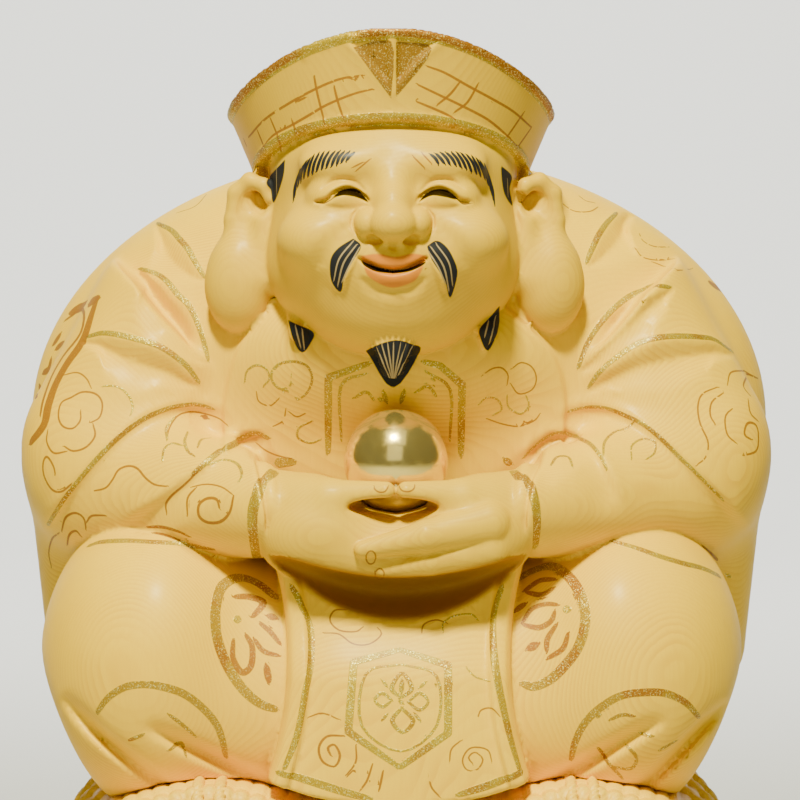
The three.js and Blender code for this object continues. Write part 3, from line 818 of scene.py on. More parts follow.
def brush(p, normals, strokes, reach=1.4):
    """For each point the nearest stroke: signed distance (the sign is the side of the stroke),
    plain distance, half width there and the stroke's tone."""
    away = np.full(len(p), 9.0)
    side = np.full(len(p), 9.0)
    half = np.full(len(p), 0.1)
    tone = np.zeros(len(p))
    for width, path, own_tone in strokes:
        low, high = path.min(0) - reach, path.max(0) + reach
        near = np.flatnonzero(((p > low) & (p < high)).all(1))
        if not len(near):
            continue
        q, n = p[near], normals[near]
        run = np.linspace(0, 1, len(path))
        for i, (a, b) in enumerate(zip(path[:-1], path[1:])):
            length = np.linalg.norm(b - a)
            if length < 1e-6 or length > 4:
                continue
            way = (b - a) / length
            off = q - a
            t = np.clip(off @ way, 0, length)
            gap = off - t[:, None] * way
            far = np.linalg.norm(gap, axis=1)
            closer = far < away[near]
            if not closer.any():
                continue
            pick = near[closer]
            turn = (np.cross(way, gap[closer]) * n[closer]).sum(1)
            away[pick] = far[closer]
            side[pick] = np.where(turn < 0, -far[closer], far[closer])
            share = run[i] + t[closer] / length * (run[i + 1] - run[i])
            half[pick] = width / 2 * (0.6 + 0.4 * np.sin(np.pi * np.clip(share, 0, 1)) ** 0.5)
            tone[pick] = own_tone
    return side, away, half, tone


def to_outline(q, outline):
    """Signed distance of points across and up to a closed outline, below zero inside."""
    outline = np.asarray(outline, float)
    away = np.full(len(q), 1e9)
    inside = np.zeros(len(q), bool)
    for a, b in zip(outline, np.roll(outline, -1, 0)):
        way = b - a
        t = np.clip((q - a) @ way / max(way @ way, 1e-9), 0, 1)
        away = np.minimum(away, np.hypot(*(q - a - t[:, None] * way).T))
        crosses = (a[1] > q[:, 1]) != (b[1] > q[:, 1])
        at = a[0] + (q[:, 1] - a[1]) * way[0] / (way[1] if way[1] else 1e-9)
        inside ^= crosses & (q[:, 0] < at)
    return np.where(inside, -away, away)


# Strokes of paint by kind: width in pixels of the photograph, view, and points read on it
STROKES = {
    "fold": [
        (4.5, UPPER_LEFT, [(690, 275), (760, 310), (810, 360), (850, 410), (890, 480), (940, 560)]),
        (4.5, UPPER_LEFT, [(600, 515), (680, 540), (740, 580), (800, 650), (850, 700), (890, 770),
            (930, 880), (955, 990)]),
        (4.5, UPPER_LEFT, [(330, 870), (400, 852), (490, 858), (600, 885), (700, 920), (780, 970),
            (850, 1030), (905, 1105)]),
        (4.5, RIGHT, [(660, 225), (610, 275), (565, 340), (530, 420), (505, 480)]),
        (4.5, RIGHT, [(940, 610), (870, 605), (800, 625), (720, 665), (640, 730), (570, 810), (510, 900),
            (460, 1030)]),
        (4.5, RIGHT, [(1270, 950), (1180, 890), (1100, 870), (980, 865), (860, 880), (760, 915),
            (660, 980), (580, 1050), (520, 1130)]),
        (4, LOWER_LEFT, [(100, 790), (200, 630), (300, 500), (400, 390), (500, 290), (600, 215),
            (700, 165), (800, 138), (900, 130), (980, 150)]),
        (3.4, RIGHT, [(410, 1260), (500, 1240), (600, 1245), (700, 1280), (800, 1330), (900, 1410),
            (1000, 1510), (1060, 1568), (1218, 1725)]),
        (5, LOWER_LEFT, [(880, 490), (980, 400), (1060, 350), (1130, 305), (1200, 278), (1270, 300)]),
        (3, RIGHT, [(180, 1500), (260, 1420), (350, 1375), (430, 1385), (520, 1430), (580, 1500),
            (610, 1560)]),
        (5, LOWER_LEFT, [(330, 865), (400, 845), (520, 840), (650, 845), (800, 855), (900, 870),
            (985, 885)]),
        (5, RIGHT_KNEE, [(900, 5), (1000, 35), (1100, 70), (1200, 100), (1300, 125), (1394, 155)]),
    ],
    "band": [
        (11, LOWER_LEFT, [(1400, 425), (1300, 480), (1240, 540), (1205, 620), (1190, 700), (1190, 780),
            (1200, 860), (1225, 940)]),
        (9, HANDS, [(1310, 95), (1360, 130), (1400, 180), (1440, 260), (1455, 340), (1460, 420),
            (1450, 510)]),
        (7, LEFT_KNEE, [(1110, 200), (1150, 270), (1185, 370), (1190, 480), (1180, 580), (1160, 700),
            (1130, 830), (1080, 965)]),
        (7, RIGHT_KNEE, [(430, 200), (400, 290), (392, 400), (405, 540), (430, 680), (465, 830),
            (512, 980)]),
        (7, LEFT_KNEE, [(1050, 985), (1180, 1020), (1330, 1068), (1440, 1095)]),
        (7, RIGHT_KNEE, [(515, 985), (400, 1030), (250, 1078)]),
    ],
    "brown": [
        (5.5, UPPER_LEFT, [(240, 744), (380, 672)]),
        (5.5, UPPER_LEFT, [(375, 675), (345, 760), (300, 895), (220, 1010), (160, 1120), (120, 1230),
            (100, 1330), (30, 1420)]),
        (2, UPPER_LEFT, [(210, 785), (305, 730), (290, 850), (200, 970), (140, 1080), (95, 1200),
            (80, 1280)]),
        (3.5, UPPER_LEFT, [(200, 905), (165, 935)]),
        (3.5, UPPER_LEFT, [(185, 860), (150, 910)]),
        (3.5, UPPER_LEFT, [(135, 990), (125, 1040), (95, 1060)]),
        (3, UPPER_LEFT, [(75, 1130), (60, 1190)]),
        (4.5, RIGHT, [(1150, 590), (1200, 620)]),
    ],
    "scroll": [
        (2, UPPER_LEFT, [(290, 1260), (290, 1310), (250, 1350), (200, 1340), (175, 1290), (190, 1220),
            (240, 1190), (300, 1160), (370, 1170), (405, 1220), (390, 1290), (340, 1320)]),
        (2, UPPER_LEFT, [(355, 1330), (365, 1390), (320, 1450), (250, 1470), (205, 1445)]),
        (2, UPPER_LEFT, [(215, 1472), (150, 1480), (115, 1420), (120, 1360)]),
        (2.4, LOWER_LEFT, [(160, 500), (150, 450), (115, 400), (95, 430), (100, 500), (140, 570),
            (190, 585), (240, 545)]),
        (1.4, UPPER_LEFT, [(190, 1075), (270, 1060), (320, 1090), (345, 1140)]),
        (1.6, LOWER_LEFT, [(740, 320), (755, 250), (800, 185), (870, 165), (950, 180), (1010, 200),
            (1060, 235)]),
        (5, LOWER_LEFT, [(930, 190), (950, 198)]),
        (2.2, LOWER_LEFT, [(360, 580), (420, 565), (460, 520), (490, 470), (540, 450), (590, 465),
            (630, 510), (680, 545), (740, 555)]),
        (2.4, LOWER_LEFT, [(190, 790), (210, 720), (260, 695), (305, 720), (320, 780)]),
        (2.2, LOWER_LEFT, [(320, 745), (350, 710), (420, 710)]),
        (2.4, LOWER_LEFT, [(220, 865), (230, 810), (265, 790), (295, 820)]),
        (2, LOWER_LEFT, [(180, 800), (140, 830), (125, 900), (140, 980)]),
        (3.2, LOWER_LEFT, [(1015, 670), (1000, 625), (950, 618), (910, 650), (910, 710), (950, 745),
            (1020, 740), (1070, 690), (1090, 610)]),
        (2.4, LOWER_LEFT, [(890, 565), (850, 620), (850, 710)]),
        (1.6, LOWER_LEFT, [(870, 560), (950, 545), (1030, 560), (1090, 600)]),
        (2.4, LOWER_LEFT, [(740, 700), (735, 650), (770, 600), (830, 550), (900, 482)]),
        (1.2, LOWER_LEFT, [(1210, 330), (1260, 370), (1330, 400), (1400, 410)]),
        (1.4, UPPER_LEFT, [(1210, 1160), (1220, 1210), (1280, 1235), (1330, 1195)]),
        (1.4, UPPER_LEFT, [(1365, 1250), (1350, 1310), (1290, 1345)]),
        (1.4, UPPER_LEFT, [(1380, 1262), (1420, 1290), (1470, 1270)]),
        (1.4, RIGHT, [(-40, 1075), (10, 1040), (60, 1035), (95, 1070), (90, 1120)]),
        (1.4, RIGHT, [(115, 1040), (165, 1005), (220, 1030), (242, 1090), (220, 1150), (150, 1170),
            (110, 1120)]),
        (1.4, RIGHT, [(-20, 1300), (60, 1325), (150, 1340), (230, 1312), (262, 1275)]),
        (1.3, RIGHT, [(780, 330), (800, 370), (860, 400), (940, 400)]),
        (1.3, RIGHT, [(760, 410), (800, 455), (880, 472), (965, 465)]),
        (1.3, RIGHT, [(850, 480), (940, 515), (1060, 515)]),
        (1.3, RIGHT, [(370, 170), (430, 210), (520, 215), (570, 190)]),
        (1.3, RIGHT, [(460, 130), (500, 160), (550, 170)]),
        (1.3, UPPER_LEFT, [(950, 125), (890, 190), (790, 225)]),
        (1.8, RIGHT, [(1190, 1135), (1110, 1170), (1085, 1240), (1100, 1330), (1140, 1420), (1130, 1500),
            (1080, 1540)]),
        (1.8, RIGHT, [(1240, 1120), (1260, 1060), (1320, 1050), (1380, 1085)]),
        (1.8, RIGHT, [(1220, 1165), (1160, 1210), (1150, 1280), (1180, 1330)]),
        (1.8, RIGHT, [(1270, 1245), (1230, 1290), (1240, 1380), (1290, 1430)]),
        (2.2, RIGHT, [(1360, 1180), (1325, 1129), (1340, 1069), (1400, 1090)]),
        (2.2, RIGHT, [(1350, 1200), (1360, 1270), (1400, 1310)]),
        (2.6, RIGHT, [(1365, 1410), (1332, 1380), (1345, 1325), (1390, 1335), (1405, 1400), (1390, 1470),
            (1320, 1492)]),
        (1.6, LEFT_KNEE, [(1340, 295), (1290, 300), (1270, 340), (1310, 380), (1380, 390), (1410, 370)]),
        (1.4, LEFT_KNEE, [(1240, 395), (1310, 400), (1370, 440), (1440, 440), (1490, 400), (1470, 370)]),
        (2.4, LEFT_KNEE, [(1275, 915), (1262, 880), (1290, 868), (1315, 915), (1290, 958), (1240, 940),
            (1225, 880), (1260, 832), (1330, 830)]),
        (1.8, LEFT_KNEE, [(1380, 870), (1380, 940), (1340, 1000)]),
        (2, LEFT_KNEE, [(1450, 950), (1430, 1020), (1400, 1060)]),
        (2.2, LEFT_KNEE, [(1495, 980), (1480, 1060)]),
        (1.4, LEFT_KNEE, [(1180, 750), (1240, 735), (1310, 760)]),
        (1.4, RIGHT_KNEE, [(90, 400), (100, 360), (150, 340), (200, 350)]),
        (1.4, RIGHT_KNEE, [(310, 950), (290, 925), (315, 900), (352, 930), (330, 970), (285, 975),
            (265, 930), (300, 880), (370, 890), (388, 940)]),
        (1.4, RIGHT_KNEE, [(210, 955), (218, 890), (260, 850)]),
        (1.8, RIGHT_KNEE, [(120, 960), (130, 1040), (170, 1090)]),
        (1.4, RIGHT_KNEE, [(330, 765), (340, 722), (390, 715), (422, 745)]),
    ],
    "gilt": [
        (1.8, UPPER_LEFT, [(410, 1130), (480, 1130), (540, 1180), (565, 1240), (550, 1280)]),
        (2.4, LOWER_LEFT, [(780, 195), (740, 250), (745, 310)]),
        (2.4, LOWER_LEFT, [(720, 420), (730, 360), (770, 330), (820, 340)]),
        (2.4, LOWER_LEFT, [(850, 270), (835, 320), (850, 370), (885, 397)]),
        (2, LOWER_LEFT, [(900, 350), (920, 310), (970, 300)]),
        (2.4, LOWER_LEFT, [(960, 440), (1040, 415), (1110, 440), (1135, 490), (1120, 530)]),
        (1.8, UPPER_LEFT, [(1150, 1110), (1160, 1050), (1210, 1020), (1260, 1040), (1278, 1090),
            (1245, 1130)]),
        (2.2, UPPER_LEFT, [(1395, 1060), (1390, 1120), (1340, 1145), (1295, 1110), (1290, 1060),
            (1330, 1015), (1410, 1000), (1480, 1030), (1500, 1100), (1470, 1170), (1400, 1215)]),
        (1.8, UPPER_LEFT, [(1500, 1315), (1435, 1345), (1425, 1400), (1490, 1425), (1540, 1410)]),
        (1.6, RIGHT, [(90, 1180), (95, 1240), (160, 1275), (205, 1230), (190, 1180)]),
        (1.6, RIGHT, [(-60, 1230), (-20, 1190), (40, 1200), (60, 1250), (20, 1280)]),
        (2.2, RIGHT, [(590, 1490), (600, 1420), (650, 1370), (710, 1350), (750, 1320)]),
        (1.8, RIGHT, [(740, 1510), (740, 1440), (800, 1405), (860, 1420), (860, 1480), (820, 1510)]),
        (2.4, RIGHT, [(320, 1540), (350, 1500), (410, 1500), (430, 1550)]),
        (1.3, RIGHT_KNEE, [(185, 390), (185, 350), (230, 322), (300, 315), (330, 340)]),
        (1.3, RIGHT_KNEE, [(280, 540), (320, 580), (380, 600)]),
        (2.2, LEFT_KNEE, [(880, 320), (893, 335), (880, 350), (867, 335), (880, 320)]),
        (2.2, RIGHT_KNEE, [(708, 278), (722, 292), (708, 306), (694, 292), (708, 278)]),
        (2.5, WHOLE, [(366, 374), (341, 386), (341, 440)]),
        (2.5, WHOLE, [(426, 372), (450, 390), (450, 440)]),
        (4, WHOLE, [(383, 392), (386, 402)]),
        (4, WHOLE, [(404, 391), (401, 402)]),
        (3, WHOLE, [(354, 398), (366, 392), (374, 400)]),
        (3, WHOLE, [(416, 392), (428, 386), (436, 396)]),
        (2.2, WHOLE, [(401, 664), (437, 676), (437, 725), (401, 751), (362, 726), (366, 674),
            (401, 664)]),
    ],
    "ring": [
        (11, LEFT_KNEE, [(1040, 240), (960, 180), (880, 160), (815, 195), (790, 270), (785, 350),
            (800, 440), (840, 540), (900, 630), (970, 690), (1040, 715)]),
        (11, RIGHT_KNEE, [(495, 190), (560, 130), (640, 110), (710, 150), (760, 220), (785, 300),
            (780, 380), (750, 460), (700, 530), (640, 590), (570, 620), (525, 610)]),
        (8, LEFT_KNEE, [(285, 730), (330, 670), (400, 625), (480, 610), (560, 620), (650, 650),
            (730, 710), (790, 780), (815, 850), (830, 920)]),
        (8, RIGHT_KNEE, [(725, 930), (740, 860), (780, 780), (850, 710), (940, 660), (1040, 645),
            (1130, 650), (1210, 690), (1265, 750)]),
        (4, LEFT_KNEE, [(420, 850), (480, 825)]),
        (4, LEFT_KNEE, [(590, 740), (640, 780), (700, 830)]),
        (4, LEFT_KNEE, [(590, 890), (640, 860), (660, 910)]),
        (4, RIGHT_KNEE, [(890, 762), (940, 740), (990, 745)]),
        (4, RIGHT_KNEE, [(960, 870), (1000, 920), (980, 970), (900, 960)]),
        (4, RIGHT_KNEE, [(1020, 820), (1070, 832)]),
        (4, RIGHT_KNEE, [(1100, 890), (1170, 852)]),
        (4, RIGHT_KNEE, [(840, 880), (880, 940), (940, 1010)]),
    ],
    "leaf": [
        (5, LEFT_KNEE, [(870, 240), (930, 240), (990, 265), (945, 322)]),
        (5, LEFT_KNEE, [(1010, 320), (1040, 332)]),
        (3.6, LEFT_KNEE, [(970, 350), (1020, 390), (1060, 440)]),
        (4.4, LEFT_KNEE, [(862, 430), (860, 500), (900, 562), (938, 530), (940, 450), (915, 405)]),
        (3.6, LEFT_KNEE, [(950, 420), (990, 470), (1052, 490)]),
        (5, LEFT_KNEE, [(1000, 535), (1012, 600)]),
        (4.2, RIGHT_KNEE, [(530, 215), (590, 172), (655, 165)]),
        (4.2, RIGHT_KNEE, [(540, 222), (600, 232), (650, 205)]),
        (4.2, RIGHT_KNEE, [(490, 300), (530, 270)]),
        (3.6, RIGHT_KNEE, [(520, 345), (560, 292), (620, 270), (668, 275)]),
        (4.2, RIGHT_KNEE, [(525, 358), (590, 370), (640, 345), (655, 305)]),
        (6, RIGHT_KNEE, [(545, 460), (580, 440)]),
        (4, RIGHT_KNEE, [(622, 470), (625, 420), (662, 360)]),
        (4, RIGHT_KNEE, [(630, 500), (690, 460), (712, 400)]),
        (2.4, LOWER_LEFT, [(640, 770), (720, 770), (800, 790), (860, 820)]),
        (2, LOWER_LEFT, [(670, 800), (740, 810), (820, 840)]),
        (2.6, RIGHT_KNEE, [(1280, 25), (1310, 55), (1345, 85)]),
    ],
    "hex": [
        (8, WHOLE, [(368, 364), (328, 378), (328, 452)]),
        (8, WHOLE, [(424, 362), (440, 366), (462, 385), (461, 455)]),
        (8, WHOLE, [(400, 650), (448, 665), (448, 733), (400, 767), (348, 731), (354, 662), (400, 650)]),
    ],
    "flower": [
        (4.5, WHOLE, [(400.7, 697), (391.5, 688), (401.8, 673.3), (412, 688), (401.5, 697.5)]),
        (5, WHOLE, [(401.5, 692), (401.8, 680)]),
        (4.5, WHOLE, [(401.5, 708), (391.8, 721), (402.5, 732), (413.3, 721), (402, 708.5)]),
        (3.6, WHOLE, [(391.5, 700), (382, 692.5), (374.5, 699.5), (382, 706.5), (391, 701)]),
        (3.6, WHOLE, [(409, 701), (419, 692.8), (428.5, 701.5), (419, 709.5), (409, 702)]),
        (3.2, WHOLE, [(382.5, 680.5), (387, 686)]),
        (3.2, WHOLE, [(425.5, 682), (420, 687)]),
        (3.2, WHOLE, [(382, 720), (387, 714.5)]),
        (3.2, WHOLE, [(419.8, 720.5), (414.5, 714)]),
        (5, WHOLE, [(399.5, 700.4), (402, 702.6)]),
    ],
    "nail": [
        (1.3, WHOLE, [(374.0, 486.5), (374.9, 489.5), (377.5, 491.7), (381.0, 492.5), (384.5, 491.7),
            (387.1, 489.5), (388.0, 486.5)]),
        (1.3, WHOLE, [(399.0, 485.5), (400.1, 488.8), (403.0, 491.1), (407.0, 492.0), (411.0, 491.1),
            (413.9, 488.8), (415.0, 485.5)]),
        (1.3, WHOLE, [(366.3, 555.3), (366.5, 560.2), (369.3, 563.6), (373.1, 563.4), (375.7, 559.7),
            (375.5, 554.8), (372.7, 551.4), (368.9, 551.6), (366.3, 555.3)]),
        (1.2, WHOLE, [(375.3, 572.1), (375.4, 576.3), (378.0, 579.2), (381.4, 579.0), (383.7, 575.9),
            (383.6, 571.7), (381.0, 568.8), (377.6, 569.0), (375.3, 572.1)]),
    ],
    "hatch": [
        (1.94, HEAD, [(190, 540), (250, 470), (340, 410), (450, 350), (550, 310), (640, 295)]),
        (1.94, HEAD, [(240, 585), (290, 530), (360, 490), (430, 450), (500, 410), (600, 370),
            (680, 350)]),
        (1.94, HEAD, [(445, 290), (460, 370), (490, 490)]),
        (1.94, HEAD, [(525, 340), (540, 400), (560, 460)]),
        (1.94, HEAD, [(225, 510), (255, 590)]),
        (1.94, HEAD, [(275, 460), (305, 540), (320, 590)]),
        (1.94, HEAD, [(170, 545), (185, 580)]),
        (1.94, HEAD, [(360, 470), (380, 530)]),
        (1.94, HEAD, [(890, 260), (960, 285), (1050, 335), (1150, 390), (1230, 440), (1300, 500)]),
        (1.94, HEAD, [(850, 330), (930, 370), (1040, 420), (1130, 470), (1200, 530), (1250, 580)]),
        (1.94, HEAD, [(1020, 320), (980, 370), (930, 410)]),
        (1.94, HEAD, [(1090, 330), (1050, 400), (1000, 440)]),
        (1.94, HEAD, [(1270, 440), (1230, 500), (1200, 540)]),
        (1.94, HEAD, [(1300, 500), (1240, 585)]),
        (1.94, HEAD, [(850, 400), (950, 440), (1000, 465)]),
    ],
    "wrinkle": [
        (1.34, HEAD, [(600, 655), (640, 635)]),
        (1.34, HEAD, [(610, 672), (668, 622)]),
        (1.34, HEAD, [(870, 600), (908, 642)]),
        (1.34, HEAD, [(832, 612), (882, 658)]),
    ],
    "tail": [
        (1.49, HEAD, [(455, 796), (490, 796), (525, 775)]),
        (1.49, HEAD, [(1003, 776), (1030, 799), (1062, 797)]),
    ],
    "strand": [
        (1.19, HEAD, [(600, 945), (545, 1015), (524, 1100)]),
        (1.19, HEAD, [(614, 958), (562, 1030), (540, 1122)]),
        (1.19, HEAD, [(626, 972), (582, 1045), (556, 1105)]),
        (1.19, HEAD, [(925, 955), (975, 1030), (990, 1120)]),
        (1.19, HEAD, [(905, 968), (955, 1045), (975, 1140)]),
        (1.19, HEAD, [(895, 985), (935, 1050), (962, 1110)]),
        (1.19, HEAD, [(375, 1275), (395, 1365)]),
        (1.19, HEAD, [(400, 1290), (408, 1368)]),
        (1.19, HEAD, [(1160, 1240), (1132, 1350)]),
        (1.19, HEAD, [(1130, 1260), (1115, 1320)]),
        (1.19, HEAD, [(690, 1360), (750, 1500)]),
        (1.19, HEAD, [(712, 1352), (753, 1490)]),
        (1.19, HEAD, [(735, 1345), (755, 1490)]),
        (1.19, HEAD, [(760, 1345), (757, 1490)]),
        (1.19, HEAD, [(785, 1345), (759, 1490)]),
        (1.19, HEAD, [(808, 1350), (760, 1492)]),
        (1.19, HEAD, [(832, 1355), (763, 1500)]),
        (1.19, HEAD, [(300, 660), (300, 760)]),
        (1.19, HEAD, [(1205, 700), (1208, 770)]),
    ],
}
# Root and tip lines of the two brows, on the view of the head
BROWS = [
    ([(366, 788), (378, 740), (398, 705), (430, 685), (470, 665), (520, 650), (575, 630)],
     [(380, 700), (393, 660), (420, 630), (455, 605), (500, 597), (550, 592), (605, 600)]),
    ([(1155, 805), (1142, 745), (1120, 705), (1085, 680), (1040, 660), (990, 645), (935, 640)],
     [(1135, 700), (1120, 650), (1090, 625), (1050, 607), (1005, 598), (955, 600), (905, 605)]),
]
# Outlines that are filled with paint, on the view of the head
ZONES = {
    "hair": [
        [(600, 935), (632, 965), (600, 1020), (565, 1080), (550, 1145), (520, 1110), (510, 1060),
         (515, 1010), (545, 970)],
        [(890, 965), (930, 945), (970, 975), (1000, 1030), (1008, 1070), (995, 1130), (978, 1165),
         (960, 1100), (930, 1050), (905, 1010)],
        [(345, 1255), (440, 1300), (435, 1340), (405, 1380), (375, 1350)],
        [(1175, 1200), (1170, 1280), (1130, 1375), (1098, 1320), (1098, 1285), (1140, 1240)],
        [(332, 625), (325, 700), (290, 795), (278, 745), (268, 700)],
        [(1180, 650), (1222, 690), (1214, 740), (1225, 805), (1195, 760), (1183, 700)],
        [(650, 1375), (700, 1350), (770, 1335), (830, 1350), (862, 1378), (755, 1530)],
    ],
    "lips": [
        [(632, 1002), (700, 993), (765, 1005), (830, 993), (888, 1005), (872, 1037), (830, 1052),
         (760, 1057), (690, 1047), (640, 1027)],
        [(640, 1037), (690, 1062), (760, 1070), (830, 1062), (876, 1037), (860, 1080), (830, 1110),
         (760, 1128), (700, 1112), (655, 1080)],
    ],
    "dark": [
        [(520, 776), (545, 752), (585, 738), (620, 745), (645, 768), (660, 792), (635, 780), (600, 769),
         (560, 766)],
        [(858, 792), (880, 762), (915, 745), (950, 740), (980, 752), (1007, 780), (960, 772), (915, 768),
         (880, 778)],
        [(632, 1020), (690, 1046), (757, 1057), (820, 1052), (884, 1026), (870, 1042), (820, 1063),
         (757, 1071), (690, 1063), (645, 1042)],
    ],
    "crest": [
        [(600, 185), (750, 160), (750, 375), (740, 375)],
        [(768, 160), (912, 190), (775, 375), (768, 375)],
    ],
}
# Tone of each kind of stroke: 0 gold, 1 copper, 2 brown, 3 black and 4 a pale strand
TONES = {"fold": 0.1, "band": 0.15, "hex": 0, "ring": 0.4, "leaf": 0.9, "gilt": 0, "flower": 0,
         "brown": 1.9, "scroll": 1.75, "hatch": 1.9, "wrinkle": 1.7, "nail": 1.9,
         "brow": 3, "tail": 2.6, "strand": 4}
# How much wider than read each kind is drawn
WIDEN = {"fold": 1.4, "scroll": 1.1, "gilt": 1.3, "brown": 2.4, "leaf": 1.5, "hatch": 1.4, "band": 1.15}
FINEST = 0.22  # least width of a stroke
BRISTLE = 0.5  # width of the brows' strokes
NET_LOW, NET_HIGH = [-54, -40.4, -14], [54, 37, 103]
NET_CELL = 1.4  # where the carving bends or paint runs the net is split finer
HAT_FOOT = 76  # below the hat's hem on every side
FAR = 9.0  # stands for any distance at which there is no paint
INSET = 2e-5  # metres that the figure is held inside the solids' box


def bends(least, region):
    """Wanted where the wood lies further than least from the middle of an edge."""
    def wanted(middles, lengths):
        out = np.zeros(len(middles), bool)
        near = np.flatnonzero(region(middles) & (lengths > 0.2))
        out[near] = np.abs(wood(middles[near])) > least
        return out
    return wanted


def painted(p, lengths):
    """Wanted on long edges near a stroke, an outline of paint or the hat's bands."""
    side, away, half, tone = brush(p, np.tile([0.0, -1, 0], (len(p), 1)), all_strokes, 0.8)
    out = (lengths > 0.5) & (away - half < 0.22)
    face = np.flatnonzero((p[:, 1] < -12) & (p[:, 2] > 50) & (lengths > 0.4) & (np.abs(p[:, 0]) < 19))
    for outlines in OUTLINES.values():
        for outline in outlines:
            out[face] |= np.abs(to_outline(p[face][:, [0, 2]], outline)) < 0.2
    high = np.flatnonzero((p[:, 2] > HAT_FOOT) & (lengths > 0.7))
    hem, rim, ring = hat_place(p[high])
    out[high] |= (np.abs(rim - 1.1) < 0.7) | (np.abs(hem - 0.95) < 0.3)
    return out


def in_front(p):
    """All but the back."""
    return p[:, 1] < 6


def anywhere(p):
    return np.ones(len(p), bool)


def at_face_or_hands(p):
    face = (np.abs(p[:, 0]) < 17) & (p[:, 2] > 50) & (p[:, 2] < 84) & (p[:, 1] < -24)
    return face | ((np.abs(p[:, 0]) < 19) & (p[:, 2] > 23) & (p[:, 2] < 42) & (p[:, 1] < -26))


rows = [(group, *row) for group, group_rows in STROKES.items() for row in group_rows]
lines = read_off([(view, points) for group, width, view, points in rows])
kinds = [(group, WIDEN.get(group, 1) * round(width / PIXELS_IN_PART, 2))
         for group, width, view, points in rows]
brow_lines = read_off([(HEAD, line) for brow in BROWS for line in brow])
for root, tip in zip(brow_lines[::2], brow_lines[1::2]):
    lines += list(bristles(root, tip))
    kinds += [("brow", BRISTLE)] * (len(lines) - len(kinds))
paths = on_front([straight_path(line) if group == "hex" else smooth_path(line, 4)
                  for line, (group, width) in zip(lines, kinds)])
all_strokes = [(max(width, FINEST), path, TONES[group]) for path, (group, width) in zip(paths, kinds)]
all_strokes = [piece for stroke in all_strokes for piece in unwound(stroke)]
OUTLINES = {}
for name, outlines in ZONES.items():
    places = read_off([(HEAD, outline) for outline in outlines])
    OUTLINES[name] = [smooth_path(np.vstack([place, place[:1]]), 4)[:-1] for place in places]
points, triangles = wrap(wood, NET_LOW, NET_HIGH, NET_CELL)
points = settle(wood, points, 3)
points = settle(wood, soften(points, triangles, np.ones(len(points), bool)), 2)
passes = [(bends(0.05, in_front), in_front), (bends(0.036, in_front), in_front),
          (bends(0.018, at_face_or_hands), at_face_or_hands), (painted, anywhere), (painted, anywhere)]
for wanted, region in passes:
    points, triangles, old = refine(points, triangles, wanted)
    points[old:] = settle(wood, points[old:], 3)
    near = np.flatnonzero(region(points))
    points = soften(points, triangles, near, 0.3)
    points[near] = settle(wood, points[near], 1)


def corner_normals(points, triangles):
    """Mean normal of the triangles round each point."""
    a, b, c = (points[triangles[:, i]] for i in range(3))
    flat = np.cross(b - a, c - a)
    corners = triangles.ravel()
    n = np.stack([np.bincount(corners, np.repeat(flat[:, i], 3), len(points)) for i in range(3)], 1)
    return n / np.maximum(np.linalg.norm(n, axis=1), 1e-12)[:, None]


normals = corner_normals(points, triangles)
metres = points * PART + [0, MIDDLE_Y, SEAT]
# the net's own roundness may pass the solid's box by a hair, so it is held inside
metres = np.clip(metres, np.array(cad_box[0]) + INSET, np.array(cad_box[1]) - INSET)
figure = add_mesh("daikoku_figure", metres, triangles)


def give(piece, name, values):
    """Stores a number or a vector for each point of a piece, for its material to read."""
    kind = "FLOAT" if values.ndim == 1 else "FLOAT_VECTOR"
    layer = piece.data.attributes.new(name, kind, "POINT")
    layer.data.foreach_set("value" if values.ndim == 1 else "vector", values.astype(np.float32).ravel())


stroke_layers = apart(all_strokes)
for number, layer in enumerate(stroke_layers):
    side, away, half, tone = brush(points, normals, layer)
    give(figure, f"stroke_{number}", np.stack([side, away, half], 1))
    give(figure, f"tone_{number}", tone)
in_face = np.flatnonzero((points[:, 1] < -12) & (points[:, 2] > 50) & (points[:, 2] < 99))
face_places = points[in_face][:, [0, 2]]
zones = np.full((len(points), 4), FAR)
for column, name in enumerate(["hair", "lips", "dark", "crest"]):
    for outline in OUTLINES[name]:
        zones[in_face, column] = np.minimum(zones[in_face, column], to_outline(face_places, outline))
give(figure, "zones", zones[:, :3])
high = np.flatnonzero((points[:, 2] > HAT_FOOT) & (hat(points) < 0.5))
bands = np.full((len(points), 3), FAR)
bands[high] = np.stack(hat_place(points[high]), 1)
give(figure, "hat", bands)
zones[bands[:, 2] < 0.9, 3] = FAR  # the crown carries no crest
give(figure, "crest", zones[:, 3])
# the head, hat, ears and hands are marked for painted shade: darker, where less light falls than on the
# chest
shaded_head_and_hands = np.minimum.reduce([skull(points), hat(points), ear(fold_over(points, -0.2)), hands(points)])
give(figure, "shaded_head_and_hands", np.clip(1 - shaded_head_and_hands / 0.8, 0, 1))
# painted shadow in the hollow under the hands
in_shade = (points[:, 2] < 30) & (points[:, 1] < -24)
undercut = np.clip(1.4 - np.abs(below_hands(points)) / 0.6, 0, 1)
give(figure, "undercut", np.where(in_shade, undercut, 0))
# how much wood stands round each point, near and further off, for the painted shade and patina in the
# hollows
for name, reach in (("hollow", 1.3), ("deep", 4.0)):
    give(figure, name, 1 - np.clip(wood(points + reach * normals) / reach, -0.2, 1))


